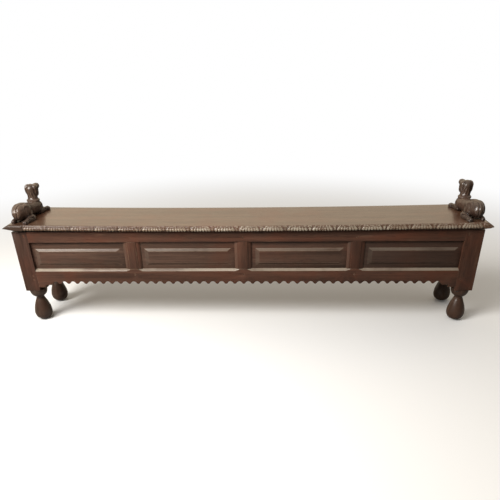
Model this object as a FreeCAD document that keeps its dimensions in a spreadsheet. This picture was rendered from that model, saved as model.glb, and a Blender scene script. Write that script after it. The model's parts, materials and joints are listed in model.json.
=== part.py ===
import FreeCAD, Part
import math
import os
import Sketcher
from FreeCAD import Rotation, Vector

# Long box settle in dark oak: a joined box on four turned feet,
# a carved plank lid hinged at the back, and a carved hound on each end of the lid.
# The frame has +X to the right, +Y to the back and +Z up, in millimetres.
# The origin lies on the floor, under the middle of the whole bench.

doc = FreeCAD.newDocument("BoxSettle")
sheet = doc.addObject("Spreadsheet::Sheet", "Sizes")


class Dim:
    """A size that knows its value and the expression that gives it."""

    def __init__(self, value, text=None):
        self.value = float(value)
        self.text = repr(float(value)) if text is None else text

    def joined(self, sign, other, value):
        return Dim(value, "(%s %s %s)" % (self.text, sign, other.text))

    def __add__(self, other):
        other = dim(other)
        return self.joined("+", other, self.value + other.value)

    def __sub__(self, other):
        other = dim(other)
        return self.joined("-", other, self.value - other.value)

    def __mul__(self, other):
        other = dim(other)
        return self.joined("*", other, self.value * other.value)

    def __truediv__(self, other):
        other = dim(other)
        return self.joined("/", other, self.value / other.value)

    def __radd__(self, other):
        return dim(other) + self

    def __rsub__(self, other):
        return dim(other) - self

    def __rmul__(self, other):
        return dim(other) * self

    def __neg__(self):
        return Dim(-self.value, "(0 - %s)" % self.text)


def dim(value):
    return value if isinstance(value, Dim) else Dim(value)


def driving(**sizes):
    """Write sizes to the sheet, one aliased cell each, and return them as Dims."""
    found = {}
    for alias, value in sizes.items():
        row = driving.next_row
        driving.next_row += 1
        sheet.set("A%d" % row, alias.replace("_", " "))
        sheet.set("B%d" % row, str(value))
        sheet.setAlias("B%d" % row, alias)
        found[alias] = Dim(value, "Sizes." + alias)
    return found


driving.next_row = 1

# Lid: a single bowed plank, its ends standing higher than its middle.
LID = driving(
    lid_length=1950,
    lid_depth=284,
    lid_thickness=24,
    lid_end_height=445.3,
    lid_bow=9,
    lid_front_overhang=18,
    lid_edge_round=9,
    lid_edge_lip=3,
    lid_under_round=7.2,
    lid_nose_run=38,
    lid_nose_fall=12.5,
    lid_nose_edge=2.5,
    lid_under_run=85,
    lid_gap=0.3,
)

# Box: length over the corner stiles and the width of its members.
BOX = driving(
    box_length=1902,
    stile_bottom=150,
    stile_left_width=61,
    stile_right_width=72,
    back_stile_width=66,
    muntin_width=70,
    muntin_shoulder=13,
    frame_thickness=26,
    end_thickness=24,
    top_rail_width=45,
    bottom_rail_top=249,
    panel_set_back=10,
    groove_width=7,
    groove_depth=10,
    tongue_length=9,
    tenon_length=38,
    head_tenon_length=31.5,
    tenon_shoulder=8,
    peg_radius=4,
    peg_length=24,
    peg_inset=14,
    peg_spacing=20,
    peg_margin=6,
    fit_gap=0.05,
)

# Moulding along both edges of a front muntin: a quirk and a thumb-shaped round.
MOULD = driving(
    mould_width=17,
    quirk_depth=2.5,
    thumb_fall=5.5,
    thumb_radius=29,
)

# Raised field of a front panel, between bevels.
FIELD = driving(
    field_margin_side=17,
    field_margin_top=31,
    field_margin_bottom=16,
    field_bevel_width=15,
    field_bevel_height=10,
    field_rise=6,
)

# Lower edge of the front rail: round arches between two stepped brackets.
SCALLOP = driving(
    pendant_height=181.5,
    arch_count=44,
    arch_rise=12,
    bracket_low_height=167,
    bracket_low_width=31,
    bracket_step_height=177,
    bracket_step_width=27,
    chamfer_width=9,
    back_rail_bottom=190,
)

# Turned feet, corner blocks, glides, and the floor of the box.
BASE = driving(
    foot_inset_end=36,
    foot_inset_front=38,
    foot_dish_radius=36.5,
    foot_dish_rim=5,
    foot_cove=3,
    foot_neck_radius=16,
    foot_neck_height=109,
    foot_belly_radius=38,
    foot_belly_height=34,
    foot_swell_share=0.66,
    foot_bottom_radius=13,
    spigot_radius=10,
    spigot_length=45,
    glide_radius=7,
    glide_height=4,
    glide_flat=3,
    glide_rim=1,
    glide_nail_radius=1.5,
    glide_nail_length=14,
    block_size=54,
    block_height=50,
    floor_height=220,
    floor_thickness=14,
    floor_gap=2,
    cleat_size=16,
)

# Butt hinges, screwed to the back of the rail and to the back edge of the lid.
HINGE = driving(
    hinge_length=76,
    hinge_spacing=620,
    leaf_thickness=2.5,
    knuckle_radius=4.5,
    pin_radius=2.5,
    pin_end=2,
    pivot_rise=1.5,
    box_leaf_drop=34,
    lid_leaf_rise=21,
    leaf_stop=2.7,
    knuckle_reach=5.5,
    knuckle_count=5,
    knuckle_gap=0.3,
)

doc.recompute()

half_box = BOX["box_length"] / 2
box_top = LID["lid_end_height"] - LID["lid_bow"] - LID["lid_thickness"] - LID["lid_gap"]
pivot_height = box_top + HINGE["pivot_rise"]
hinge_reach = HINGE["knuckle_radius"] * 2
lid_front = -(LID["lid_depth"] + hinge_reach) / 2
box_front = lid_front + LID["lid_front_overhang"]
box_back = lid_front + LID["lid_depth"]
box_depth = LID["lid_depth"] - LID["lid_front_overhang"]
top_rail_bottom = box_top - BOX["top_rail_width"]
thick = BOX["frame_thickness"]
groove_front = BOX["panel_set_back"]
groove_back = groove_front + BOX["groove_width"]
end_tenon = BOX["tenon_length"] / 2


def bind(thing, prop, size):
    thing.setExpression(prop, dim(size).text)


def new_body(label):
    body = doc.addObject("PartDesign::Body", label)
    body.Label = label
    return body


def place(thing, x, y, z, turn=0):
    """Stand a piece at x, y, z, turned about the vertical by so many degrees."""
    start = Vector(dim(x).value, dim(y).value, dim(z).value)
    thing.Placement = FreeCAD.Placement(start, Rotation(Vector(0, 0, 1), turn))
    for axis, size in zip("xyz", (x, y, z)):
        bind(thing, "Placement.Base." + axis, size)


def sketch_on(body, role, offset=0):
    """A sketch on one of the body's own planes, moved along the plane's normal."""
    sketch = body.newObject("Sketcher::SketchObject", "Profile")
    plane = [item for item in body.Origin.OriginFeatures if item.Role == role][0]
    sketch.AttachmentSupport = [(plane, "")]
    sketch.MapMode = "FlatFace"
    bind(sketch, "AttachmentOffset.Base.z", offset)
    return sketch


def pin_point(sketch, curve, end, point):
    """Hold one end of a curve at a point whose coordinates are sizes."""
    for kind, size in zip(("DistanceX", "DistanceY"), point):
        size = dim(size)
        index = sketch.addConstraint(Sketcher.Constraint(kind, -1, 1, curve, end, size.value))
        sketch.setExpression("Constraints[%d]" % index, size.text)


def arc_between(start, end, radius):
    """A circular arc; a positive radius puts its centre on the left of start to end."""
    chord = end - start
    middle = (start + end) * 0.5
    reach = math.sqrt(radius * radius - chord.Length ** 2 / 4)
    left = Vector(-chord.y, chord.x, 0).normalize()
    centre = middle + left * math.copysign(reach, radius)
    crown = centre + (middle - centre).normalize() * abs(radius)
    return Part.Arc(start, crown, end)


def outline(sketch, points, arcs=None):
    """A closed outline through points; arcs gives the radius of the sides that are round."""
    arcs = arcs or {}
    corners = [Vector(dim(x).value, dim(y).value, 0) for x, y in points]
    count = len(corners)
    ends = []
    for side in range(count):
        start = corners[side]
        end = corners[(side + 1) % count]
        if side not in arcs:
            curve = sketch.addGeometry(Part.LineSegment(start, end), False)
            ends.append((curve, 1, 2))
            continue
        radius = arcs[side].value
        curve = sketch.addGeometry(arc_between(start, end, radius), False)
        first = sketch.getPoint(curve, 1)
        turned = (first - start).Length > (first - end).Length
        ends.append((curve, 2, 1) if turned else (curve, 1, 2))
        size = Dim(abs(radius), "abs(%s)" % arcs[side].text)
        index = sketch.addConstraint(Sketcher.Constraint("Radius", curve, size.value))
        sketch.setExpression("Constraints[%d]" % index, size.text)
    for side in range(count):
        following = ends[(side + 1) % count]
        joint = Sketcher.Constraint("Coincident", ends[side][0], ends[side][2], following[0], following[1])
        sketch.addConstraint(joint)
        pin_point(sketch, ends[side][0], ends[side][1], points[side])


def rectangle(sketch, x_low, x_high, y_low, y_high):
    outline(sketch, [(x_low, y_low), (x_high, y_low), (x_high, y_high), (x_low, y_high)])


def pad(body, sketch, length, backwards=False):
    feature = body.newObject("PartDesign::Pad", "Pad")
    feature.Profile = sketch
    feature.Reversed = backwards
    bind(feature, "Length", length)
    return feature


def pocket(body, sketch, length, backwards=False):
    feature = body.newObject("PartDesign::Pocket", "Pocket")
    feature.Profile = sketch
    feature.Reversed = backwards
    bind(feature, "Length", length)
    return feature


def block(body, kind, x, y, z):
    """Add or cut a block; x, y and z are pairs of low and high limits."""
    feature = body.newObject("PartDesign::%sBox" % kind, "Block")
    for prop, axis, (low, high) in zip(("Length", "Width", "Height"), "xyz", (x, y, z)):
        bind(feature, prop, dim(high) - low)
        bind(feature, "Placement.Base." + axis, low)
    return feature


def bore(body, x, z, y_low, y_high, radius):
    """Cut a round hole that runs along Y."""
    feature = body.newObject("PartDesign::SubtractiveCylinder", "Bore")
    feature.Placement = FreeCAD.Placement(Vector(0, 0, 0), Rotation(Vector(1, 0, 0), -90))
    bind(feature, "Radius", radius)
    bind(feature, "Height", dim(y_high) - y_low)
    for axis, size in zip("xyz", (x, y_low, z)):
        bind(feature, "Placement.Base." + axis, size)
    return feature


# Each frame is drawn with its outer face at y = 0 and its thickness towards +y.


class Frame:
    """A joined frame of the box: where it stands, its tenons' length, and its pegs."""

    def __init__(self, name, x_low, x_high, at, turn, tenon):
        self.name = name
        self.x_low = x_low
        self.x_high = x_high
        self.at = at
        self.turn = turn
        self.tenon = tenon
        self.pegs = []

    def in_order(self, *names):
        """Names from low x to high x; the frame that faces back has them the other way."""
        return names[::-1] if self.turn == 180 else names

    def stand(self, body):
        place(body, self.at[0], self.at[1], 0, self.turn)
        return body


def tenon_span(low, high):
    return (low + BOX["tenon_shoulder"], high - BOX["tenon_shoulder"])


def top_rail(frame, depth):
    """Rail under the lid: a bar with a groove for the panels along its lower edge."""
    low = top_rail_bottom
    section = [
        (0, low),
        (groove_front, low),
        (groove_front, low + BOX["groove_depth"]),
        (groove_back, low + BOX["groove_depth"]),
        (groove_back, low),
        (depth, low),
        (depth, box_top),
        (0, box_top),
    ]
    body = new_body(frame.name + "_top_rail")
    sketch = sketch_on(body, "YZ_Plane", frame.x_low)
    outline(sketch, section)
    pad(body, sketch, frame.x_high - frame.x_low)
    add_tenons(frame, body, low + BOX["groove_depth"], box_top)
    return frame.stand(body)


def add_tenons(frame, body, low, high):
    z = tenon_span(low, high)
    y = (groove_front, groove_back)
    block(body, "Additive", (frame.x_low - frame.tenon, frame.x_low), y, z)
    block(body, "Additive", (frame.x_high, frame.x_high + frame.tenon), y, z)


def rail_outline(frame, low, bracket):
    """Front view of a bottom rail, with a stepped bracket at each end."""
    top = BOX["bottom_rail_top"]
    if not bracket:
        return [(frame.x_low, low), (frame.x_high, low), (frame.x_high, top), (frame.x_low, top)]
    deep = SCALLOP["bracket_low_height"]
    step = SCALLOP["bracket_step_height"]
    deep_width = SCALLOP["bracket_low_width"]
    step_width = deep_width + SCALLOP["bracket_step_width"]
    return [
        (frame.x_low, deep),
        (frame.x_low + deep_width, deep),
        (frame.x_low + deep_width, step),
        (frame.x_low + step_width, step),
        (frame.x_low + step_width, low),
        (frame.x_high - step_width, low),
        (frame.x_high - step_width, step),
        (frame.x_high - deep_width, step),
        (frame.x_high - deep_width, deep),
        (frame.x_high, deep),
        (frame.x_high, top),
        (frame.x_low, top),
    ]


def bottom_rail(frame, depth, low, bracket):
    """Rail under the panels: its front view padded back, then grooved along the top."""
    body = new_body(frame.name + "_bottom_rail")
    sketch = sketch_on(body, "XZ_Plane")
    outline(sketch, rail_outline(frame, low, bracket))
    pad(body, sketch, depth, backwards=True)
    top = BOX["bottom_rail_top"]
    groove = (top - BOX["groove_depth"], top)
    block(body, "Subtractive", (frame.x_low, frame.x_high), (groove_front, groove_back), groove)
    add_tenons(frame, body, dim(low), top - BOX["groove_depth"])
    return frame.stand(body)


def scallop(frame, body, depth):
    """Cut the row of round arches: one pocket, repeated along the rail."""
    inset = SCALLOP["bracket_low_width"] + SCALLOP["bracket_step_width"]
    start = frame.x_low + inset
    pitch = (frame.x_high - frame.x_low - 2 * inset) / SCALLOP["arch_count"]
    low = SCALLOP["pendant_height"]
    rise = SCALLOP["arch_rise"]
    below = low - rise / 2
    radius = (pitch * pitch / 4 + rise * rise) / (2 * rise)
    sketch = sketch_on(body, "XZ_Plane")
    points = [(start, below), (start + pitch, below), (start + pitch, low), (start, low)]
    outline(sketch, points, {2: radius})
    arch = pocket(body, sketch, depth)
    row = body.newObject("PartDesign::LinearPattern", "ArchRow")
    row.Originals = [arch]
    row.Direction = (sketch, ["H_Axis"])
    bind(row, "Length", pitch * (SCALLOP["arch_count"] - 1))
    row.Occurrences = int(SCALLOP["arch_count"].value)
    body.Tip = row


def chamfer_section(body, x, size):
    """Triangle cut from the rail's upper front arris, at one place along the rail."""
    top = BOX["bottom_rail_top"]
    over = 1
    sketch = sketch_on(body, "YZ_Plane", x)
    outline(sketch, [(-over, top - size - over), (size + over, top + over), (-over, top + over)])
    return sketch


def stopped_chamfer(body, x_low, x_high, stop_low, stop_high):
    """Chamfer of the rail under one panel, run out under the mouldings of the muntins beside it."""
    full = SCALLOP["chamfer_width"]
    run = MOULD["mould_width"]
    end = MOULD["quirk_depth"]
    sections = [chamfer_section(body, x_low, full), chamfer_section(body, x_high, full)]
    if stop_low:
        sections.insert(0, chamfer_section(body, x_low - run, end))
    if stop_high:
        sections.append(chamfer_section(body, x_high + run, end))
    loft = body.newObject("PartDesign::SubtractiveLoft", "Chamfer")
    loft.Profile = sections[0]
    loft.Sections = sections[1:]
    loft.Ruled = True
    return loft


def muntin(frame, label, x, moulded):
    """Upright between two panels: its section padded up, with a tenon at each end."""
    half = BOX["muntin_width"] / 2
    in_groove = half - BOX["groove_depth"]
    back_half = [
        (half, groove_front),
        (in_groove, groove_front),
        (in_groove, groove_back),
        (half, groove_back),
        (half, thick),
    ]
    plain = half - MOULD["mould_width"]
    quirk = MOULD["quirk_depth"]
    fall = quirk + MOULD["thumb_fall"]
    front_half = [(plain, 0), (plain, quirk), (half, fall)] if moulded else [(half, 0)]
    right = front_half + back_half
    left = [(-dim(px), py) for px, py in reversed(right)]
    section = [(x + px, py) for px, py in right + left]
    count = len(section)
    radius = MOULD["thumb_radius"]
    arcs = {1: radius, count - 3: radius} if moulded else {}
    low = BOX["bottom_rail_top"]
    body = new_body(label)
    sketch = sketch_on(body, "XY_Plane", low)
    outline(sketch, section, arcs)
    pad(body, sketch, top_rail_bottom - low)
    tenon_x = (x - half + BOX["muntin_shoulder"], x + half - BOX["muntin_shoulder"])
    tenon_y = (groove_front, groove_back)
    foot = muntin_tenon_low()
    head = muntin_tenon_high()
    block(body, "Additive", tenon_x, tenon_y, foot)
    block(body, "Additive", tenon_x, tenon_y, head)
    for z in (foot[0] + BOX["peg_inset"], head[1] - BOX["peg_inset"]):
        drill_peg(frame, [body], x, z)
    return frame.stand(body)


def muntin_tenon_low():
    top = BOX["bottom_rail_top"]
    return (top - BOX["tenon_length"], top)


def muntin_tenon_high():
    return (top_rail_bottom, top_rail_bottom + BOX["head_tenon_length"])


def drill_peg(frame, bodies, x, z, keep=False):
    """Bore the hole of one oak peg, and note where the peg goes when keep is set."""
    radius = BOX["peg_radius"] + BOX["fit_gap"]
    for body in bodies:
        bore(body, x, z, dim(0), BOX["peg_length"] + BOX["fit_gap"], radius)
    if keep:
        frame.pegs.append((x, z))


def mortise_for_muntin(frame, top, bottom, x):
    half = BOX["muntin_width"] / 2
    span = (x - half + BOX["muntin_shoulder"], x + half - BOX["muntin_shoulder"])
    y = (groove_front, groove_back)
    low = muntin_tenon_low()
    high = muntin_tenon_high()
    block(bottom, "Subtractive", span, y, low)
    block(top, "Subtractive", span, y, high)
    drill_peg(frame, [bottom], x, low[0] + BOX["peg_inset"], keep=True)
    drill_peg(frame, [top], x, high[1] - BOX["peg_inset"], keep=True)


def stile(frame, label, outer, inner, rails, bottom_rail_low):
    """Corner upright: outer and inner are its edges in x; the rails' tenons enter the inner edge."""
    low, high = (outer, inner) if outer.value < inner.value else (inner, outer)
    away = -1 if outer.value < inner.value else 1
    body = new_body(label)
    sketch = sketch_on(body, "XY_Plane", BOX["stile_bottom"])
    rectangle(sketch, low, high, 0, thick)
    pad(body, sketch, box_top - BOX["stile_bottom"])
    y = (groove_front, groove_back)

    def inward(reach):
        deep = inner + away * reach
        return (deep, inner) if away < 0 else (inner, deep)

    top = BOX["bottom_rail_top"]
    panel_z = (top - BOX["groove_depth"], top_rail_bottom + BOX["groove_depth"])
    block(body, "Subtractive", inward(BOX["groove_depth"]), y, panel_z)
    spans = (
        tenon_span(dim(bottom_rail_low), top - BOX["groove_depth"]),
        tenon_span(top_rail_bottom + BOX["groove_depth"], box_top),
    )
    peg_x = inner + away * BOX["peg_inset"]
    for rail, span in zip(rails, spans):
        block(body, "Subtractive", inward(frame.tenon), y, span)
        middle = (span[0] + span[1]) / 2
        room = span[1] - span[0] - 2 * BOX["peg_margin"]
        reach = min((BOX["peg_spacing"], room), key=lambda size: size.value) / 2
        for z in (middle - reach, middle + reach):
            drill_peg(frame, [body, rail], peg_x, z, keep=True)
    cut_end_joints(body, outer, away)
    return frame.stand(body)


def cut_end_joints(body, outer, away):
    """Mortises and groove in the stile's inner face, for the end frame's rails and panel."""
    near = outer - away * groove_front
    far = outer - away * groove_back
    x = (near, far) if near.value < far.value else (far, near)
    mortise = (thick - end_tenon, thick)
    groove = (thick - BOX["groove_depth"], thick)
    top = BOX["bottom_rail_top"]
    panel_z = (top - BOX["groove_depth"], top_rail_bottom + BOX["groove_depth"])
    block(body, "Subtractive", x, mortise, tenon_span(SCALLOP["pendant_height"], top - BOX["groove_depth"]))
    block(body, "Subtractive", x, mortise, tenon_span(top_rail_bottom + BOX["groove_depth"], box_top))
    block(body, "Subtractive", x, groove, panel_z)


def panel(frame, label, x_low, x_high, fielded):
    """Panel held loosely in the grooves; a front panel has a bevelled, raised field."""
    tongue = BOX["tongue_length"]
    z_low = BOX["bottom_rail_top"]
    body = new_body(label)
    wide = (x_low - tongue, x_high + tongue)
    tall = (z_low - tongue, top_rail_bottom + tongue)
    block(body, "Additive", wide, (groove_front, groove_back), tall)
    if fielded:
        side = FIELD["field_margin_side"]
        rise = FIELD["field_bevel_height"]
        run = FIELD["field_bevel_width"]
        foot = sketch_on(body, "XZ_Plane", -groove_front)
        limits = (
            x_low + side,
            x_high - side,
            z_low + FIELD["field_margin_bottom"],
            top_rail_bottom - FIELD["field_margin_top"],
        )
        rectangle(foot, *limits)
        face = sketch_on(body, "XZ_Plane", FIELD["field_rise"] - groove_front)
        rectangle(face, limits[0] + run, limits[1] - run, limits[2] + rise, limits[3] - rise)
        loft = body.newObject("PartDesign::AdditiveLoft", "Field")
        loft.Profile = foot
        loft.Sections = [face]
        loft.Ruled = True
    return frame.stand(body)


def long_frame(name, at, turn, left_width, right_width, front):
    """Front or back of the box: two stiles, two rails, three muntins and four panels."""
    x_low = -half_box + left_width
    x_high = half_box - right_width
    frame = Frame(name, x_low, x_high, at, turn, BOX["tenon_length"])
    muntin_width = BOX["muntin_width"]
    opening = (x_high - x_low - 3 * muntin_width) / 4
    low = SCALLOP["pendant_height"] if front else SCALLOP["back_rail_bottom"]
    top = top_rail(frame, thick)
    bottom = bottom_rail(frame, thick, low, bracket=front)
    for index, word in enumerate(frame.in_order("left", "middle", "right")):
        x = x_low + (index + 1) * opening + (index + 0.5) * muntin_width
        mortise_for_muntin(frame, top, bottom, x)
        muntin(frame, "%s_muntin_%s" % (name, word), x, moulded=front)
    for index, number in enumerate(frame.in_order(1, 2, 3, 4)):
        start = x_low + index * (opening + muntin_width)
        panel(frame, "%s_panel_%d" % (name, number), start, start + opening, fielded=front)
        if front:
            stopped_chamfer(bottom, start, start + opening, index > 0, index < 3)
    first, last = frame.in_order("left", "right")
    stile(frame, name + "_stile_" + first, -half_box, x_low, (bottom, top), low)
    stile(frame, name + "_stile_" + last, half_box, x_high, (bottom, top), low)
    if front:
        scallop(frame, bottom, thick)
    return frame


def end_frame(name, at, turn):
    """End of the box: rails with shorter tenons, and a panel, between two stiles."""
    half = box_depth / 2 - thick
    frame = Frame(name, -half, half, at, turn, end_tenon)
    top_rail(frame, BOX["end_thickness"])
    bottom_rail(frame, BOX["end_thickness"], SCALLOP["pendant_height"], bracket=True)
    panel(frame, name + "_panel", -half, half, fielded=True)


front = long_frame(
    "front", (0, box_front), 0, BOX["stile_left_width"], BOX["stile_right_width"], front=True
)
back = long_frame(
    "back", (0, box_back), 180, BOX["back_stile_width"], BOX["back_stile_width"], front=False
)
middle_y = (box_front + box_back) / 2
end_frame("left_end", (-half_box, middle_y), -90)
end_frame("right_end", (half_box, middle_y), 90)


def pegs(label, frames):
    """Eight-sided oak pegs that hold the tenons: one group of separate pegs."""
    cylinders = []
    for frame in frames:
        for x, z in frame.pegs:
            peg = doc.addObject("Part::Prism", "Peg")
            peg.Polygon = 8
            bind(peg, "Circumradius", BOX["peg_radius"])
            bind(peg, "Height", BOX["peg_length"])
            flip = frame.turn == 180
            turn = 90 if flip else -90
            start = Vector(-x.value if flip else x.value, frame.at[1].value, z.value)
            peg.Placement = FreeCAD.Placement(start, Rotation(Vector(1, 0, 0), turn))
            bind(peg, "Placement.Base.x", -x if flip else x)
            bind(peg, "Placement.Base.y", frame.at[1])
            bind(peg, "Placement.Base.z", z)
            cylinders.append(peg)
    group = doc.addObject("Part::Compound", label)
    group.Label = label
    group.Links = cylinders
    return group


pegs("frame_pegs", (front, back))


def floor_boards():
    """Two boards along the bottom of the box, on a cleat along each rail."""
    inside_x = half_box - BOX["end_thickness"] - BASE["floor_gap"]
    low_y = box_front + thick
    high_y = box_back - thick
    middle = (low_y + high_y) / 2
    gap = BASE["floor_gap"] / 2
    floor = BASE["floor_height"]
    board = (floor, floor + BASE["floor_thickness"])
    cleat = (floor - BASE["cleat_size"], floor)
    pieces = {
        "floor_board_front": ((low_y, middle - gap), board),
        "floor_board_back": ((middle + gap, high_y), board),
        "floor_cleat_front": ((low_y, low_y + BASE["cleat_size"]), cleat),
        "floor_cleat_back": ((high_y - BASE["cleat_size"], high_y), cleat),
    }
    for label, (y, z) in pieces.items():
        body = new_body(label)
        sketch = sketch_on(body, "YZ_Plane", -inside_x)
        rectangle(sketch, y[0], y[1], z[0], z[1])
        pad(body, sketch, 2 * inside_x)


def round_stretch(centre, radius, start, end, steps):
    """Points after the first on an arc, from one angle in degrees to another."""
    points = []
    for step in range(1, steps + 1):
        angle = math.radians(start + (end - start) * step / steps)
        across = centre[0] + radius * math.cos(angle)
        points.append((across, centre[1] + radius * math.sin(angle)))
    return points


def foot_profile():
    """Half section of a turned foot, from the axis outwards: spigot, dish, neck and pear."""
    neck = BASE["foot_neck_radius"]
    belly = BASE["foot_belly_radius"]
    belly_height = BASE["foot_belly_height"]
    neck_height = BASE["foot_neck_height"]
    low = BASE["glide_height"]
    nail_top = low + BASE["glide_nail_length"]
    top = BOX["stile_bottom"]
    rim = BASE["foot_dish_rim"]
    dish = BASE["foot_dish_radius"]
    bottom = BASE["foot_bottom_radius"]

    # The pear's lower arc meets the belly upright; its upper side is two arcs that meet in a slope.
    height = belly_height - low
    width = belly - bottom
    low_radius = (width * width + height * height) / (2 * width)
    low_turn = math.degrees(math.asin(height.value / low_radius.value))
    step = belly - neck
    drop = neck_height - belly_height
    both = (drop * drop + step * step) / (2 * step)
    share = BASE["foot_swell_share"]
    turn = math.degrees(math.asin(drop.value / both.value))
    swell = share * both
    hollow = (1 - share) * both
    points = [
        (0, top + BASE["spigot_length"]),
        (0, nail_top),
        (BASE["glide_nail_radius"], nail_top),
        (BASE["glide_nail_radius"], low),
        (bottom, low),
    ]
    points += round_stretch((belly - low_radius, belly_height), low_radius, -low_turn, 0, 3)
    points += round_stretch((belly - swell, belly_height), swell, 0, turn, 4)
    points += round_stretch((neck + hollow, neck_height), hollow, 180 + turn, 180, 2)

    # The dish opens from a small cove to a rolled rim under the rail.
    cove = BASE["foot_cove"]
    points += round_stretch((neck + cove, neck_height), cove, 180, 90, 1)
    dish_low = neck_height + cove
    dish_height = top - rim - rim - dish_low
    dish_width = dish - neck - cove
    dish_arc = (dish_width * dish_width + dish_height * dish_height) / (2 * dish_width)
    dish_turn = math.degrees(math.asin(dish_height.value / dish_arc.value))
    points += round_stretch((dish - dish_arc, top - rim - rim), dish_arc, -dish_turn, 0, 3)
    points += round_stretch((dish - rim, top - rim), rim, -30, 90, 3)
    points += [
        (BASE["spigot_radius"], top),
        (BASE["spigot_radius"], top + BASE["spigot_length"]),
    ]
    return points


def revolve(body, sketch, axis="V_Axis"):
    feature = body.newObject("PartDesign::Revolution", "Turning")
    feature.Profile = sketch
    feature.ReferenceAxis = (sketch, [axis])
    feature.Angle = 360
    return feature


def foot_places():
    x = half_box - BASE["foot_inset_end"]
    front_y = box_front + BASE["foot_inset_front"]
    back_y = box_back - BASE["foot_inset_front"]
    return (
        ("front_left", -x, front_y),
        ("front_right", x, front_y),
        ("back_left", -x, back_y),
        ("back_right", x, back_y),
    )


def turned_foot(word, x, y):
    body = new_body("foot_" + word)
    sketch = sketch_on(body, "XZ_Plane")
    outline(sketch, foot_profile())
    revolve(body, sketch)
    place(body, x, y, 0)


def foot_glide(x, y):
    """Domed iron glide on a nail, under a foot, with a small worn flat below."""
    height = BASE["glide_height"]
    radius = BASE["glide_radius"]
    nail = BASE["glide_nail_radius"]
    flat = BASE["glide_flat"]
    rise = height - BASE["glide_rim"]
    run = radius - flat
    dome = (run * run + rise * rise) / (2 * rise)
    points = [
        (0, 0),
        (flat, 0),
        (radius, rise),
        (radius, height),
        (nail, height),
        (nail, height + BASE["glide_nail_length"]),
        (0, height + BASE["glide_nail_length"]),
    ]
    body = new_body("glide")
    sketch = sketch_on(body, "XZ_Plane")
    outline(sketch, points, {1: dome})
    revolve(body, sketch)
    place(body, x, y, 0)
    return body


def corner_block(word, x, y):
    """Block in the corner of the frames that takes the spigot of a foot."""
    size = BASE["block_size"]
    end = half_box - BOX["end_thickness"]
    x_span = (-end, size - end) if x.value < 0 else (end - size, end)
    inner_front = box_front + thick
    inner_back = box_back - thick
    y_span = (inner_front, inner_front + size) if y.value < 0 else (inner_back - size, inner_back)
    low = BOX["stile_bottom"]
    body = new_body("corner_block_" + word)
    sketch = sketch_on(body, "XY_Plane", low)
    rectangle(sketch, x_span[0], x_span[1], y_span[0], y_span[1])
    pad(body, sketch, BASE["block_height"])
    hole = body.newObject("PartDesign::SubtractiveCylinder", "SpigotHole")
    bind(hole, "Radius", BASE["spigot_radius"])
    bind(hole, "Height", BASE["spigot_length"])
    for axis, size in zip("xyz", (x, y, low)):
        bind(hole, "Placement.Base." + axis, size)


def group(label, members):
    """Several separate solids that share one node."""
    compound = doc.addObject("Part::Compound", label)
    compound.Label = label
    compound.Links = members
    return compound


floor_boards()
glides = []
for word, x, y in foot_places():
    turned_foot(word, x, y)
    corner_block(word, x, y)
    glides.append(foot_glide(x, y))
group("foot_glides", glides)

# The lid is swept along its bow: its section turns about a far axis above it.
half_lid = LID["lid_length"] / 2
lid_thick = LID["lid_thickness"]
lid_middle_top = LID["lid_end_height"] - LID["lid_bow"]
bow_radius = half_lid * half_lid / (2 * LID["lid_bow"])


def lid_section():
    """End view of the lid: flat, with a rounded and undercut front edge."""
    round_edge = LID["lid_edge_round"]
    lip = LID["lid_edge_lip"]
    points = [
        (round_edge, 0),
        (LID["lid_depth"], 0),
        (LID["lid_depth"], -lid_thick),
        (lip, -lid_thick),
        (0, lip + lip - lid_thick),
        (0, -round_edge),
    ]
    return points, {3: -LID["lid_under_round"], 5: -round_edge}


def taper_lid_end(body, side):
    """Bring one end of the lid to a thin nose: a round fall above, a long slope below."""
    run = LID["lid_nose_run"]
    fall = LID["lid_nose_fall"]
    top = LID["lid_bow"]
    edge = fall + LID["lid_nose_edge"]
    clear = side * (half_lid + run)
    level = [(side * (half_lid - run), top), (side * half_lid, top - fall)]
    above = sketch_on(body, "XZ_Plane")
    radius = (run * run + fall * fall) / (2 * fall)
    outline(above, level + [(clear, top - fall), (clear, top + fall), (level[0][0], top + fall)], {0: -side * radius})
    pocket(body, above, LID["lid_depth"])
    inner = side * (half_lid - LID["lid_under_run"])
    under = sketch_on(body, "XZ_Plane")
    outline(under, [(side * half_lid, top - edge), (inner, -lid_thick), (clear, -lid_thick), (clear, top - edge)])
    pocket(body, under, LID["lid_depth"])


def lid_board():
    points, arcs = lid_section()
    body = new_body("lid_board")
    sketch = sketch_on(body, "YZ_Plane")
    outline(sketch, points, arcs)
    start = Vector(0, bow_radius.value, 0)
    end = Vector(LID["lid_depth"].value, bow_radius.value, 0)
    axis = sketch.addGeometry(Part.LineSegment(start, end), True)
    pin_point(sketch, axis, 1, (0, bow_radius))
    pin_point(sketch, axis, 2, (LID["lid_depth"], bow_radius))
    bowed = body.newObject("PartDesign::Revolution", "Bowed")
    bowed.Profile = sketch
    bowed.ReferenceAxis = (sketch, ["Axis0"])
    bowed.Midplane = True
    bowed.setExpression("Angle", "2 * asin(%s)" % (half_lid / bow_radius).text)
    for side in (-1, 1):
        taper_lid_end(body, side)
    for side in (-1, 1):
        for x, y in DOWEL_PLACES:
            hole = body.newObject("PartDesign::SubtractiveCylinder", "DowelHole")
            bind(hole, "Radius", HOUND["dowel_radius"])
            bind(hole, "Height", HOUND["dowel_length"])
            at = hound_point(side, x, y, -HOUND["dowel_length"].value / 2)
            at = at - Vector(0, lid_front.value, lid_middle_top.value)
            hole.Placement = FreeCAD.Placement(at, hound_lean(side))
    place(body, 0, lid_front, lid_middle_top)
    return body


# Recumbent hound: its haunch at the front, its head raised to the back and inwards.
# It is drawn for the left end, x inwards from its own middle line; the right one mirrors it.
HOUND = driving(
    hound_from_middle=915,
    hound_seat=0.05,
    ring_corner=0.45,
    hound_clear=60,
    dowel_radius=5,
    dowel_length=32,
)

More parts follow.
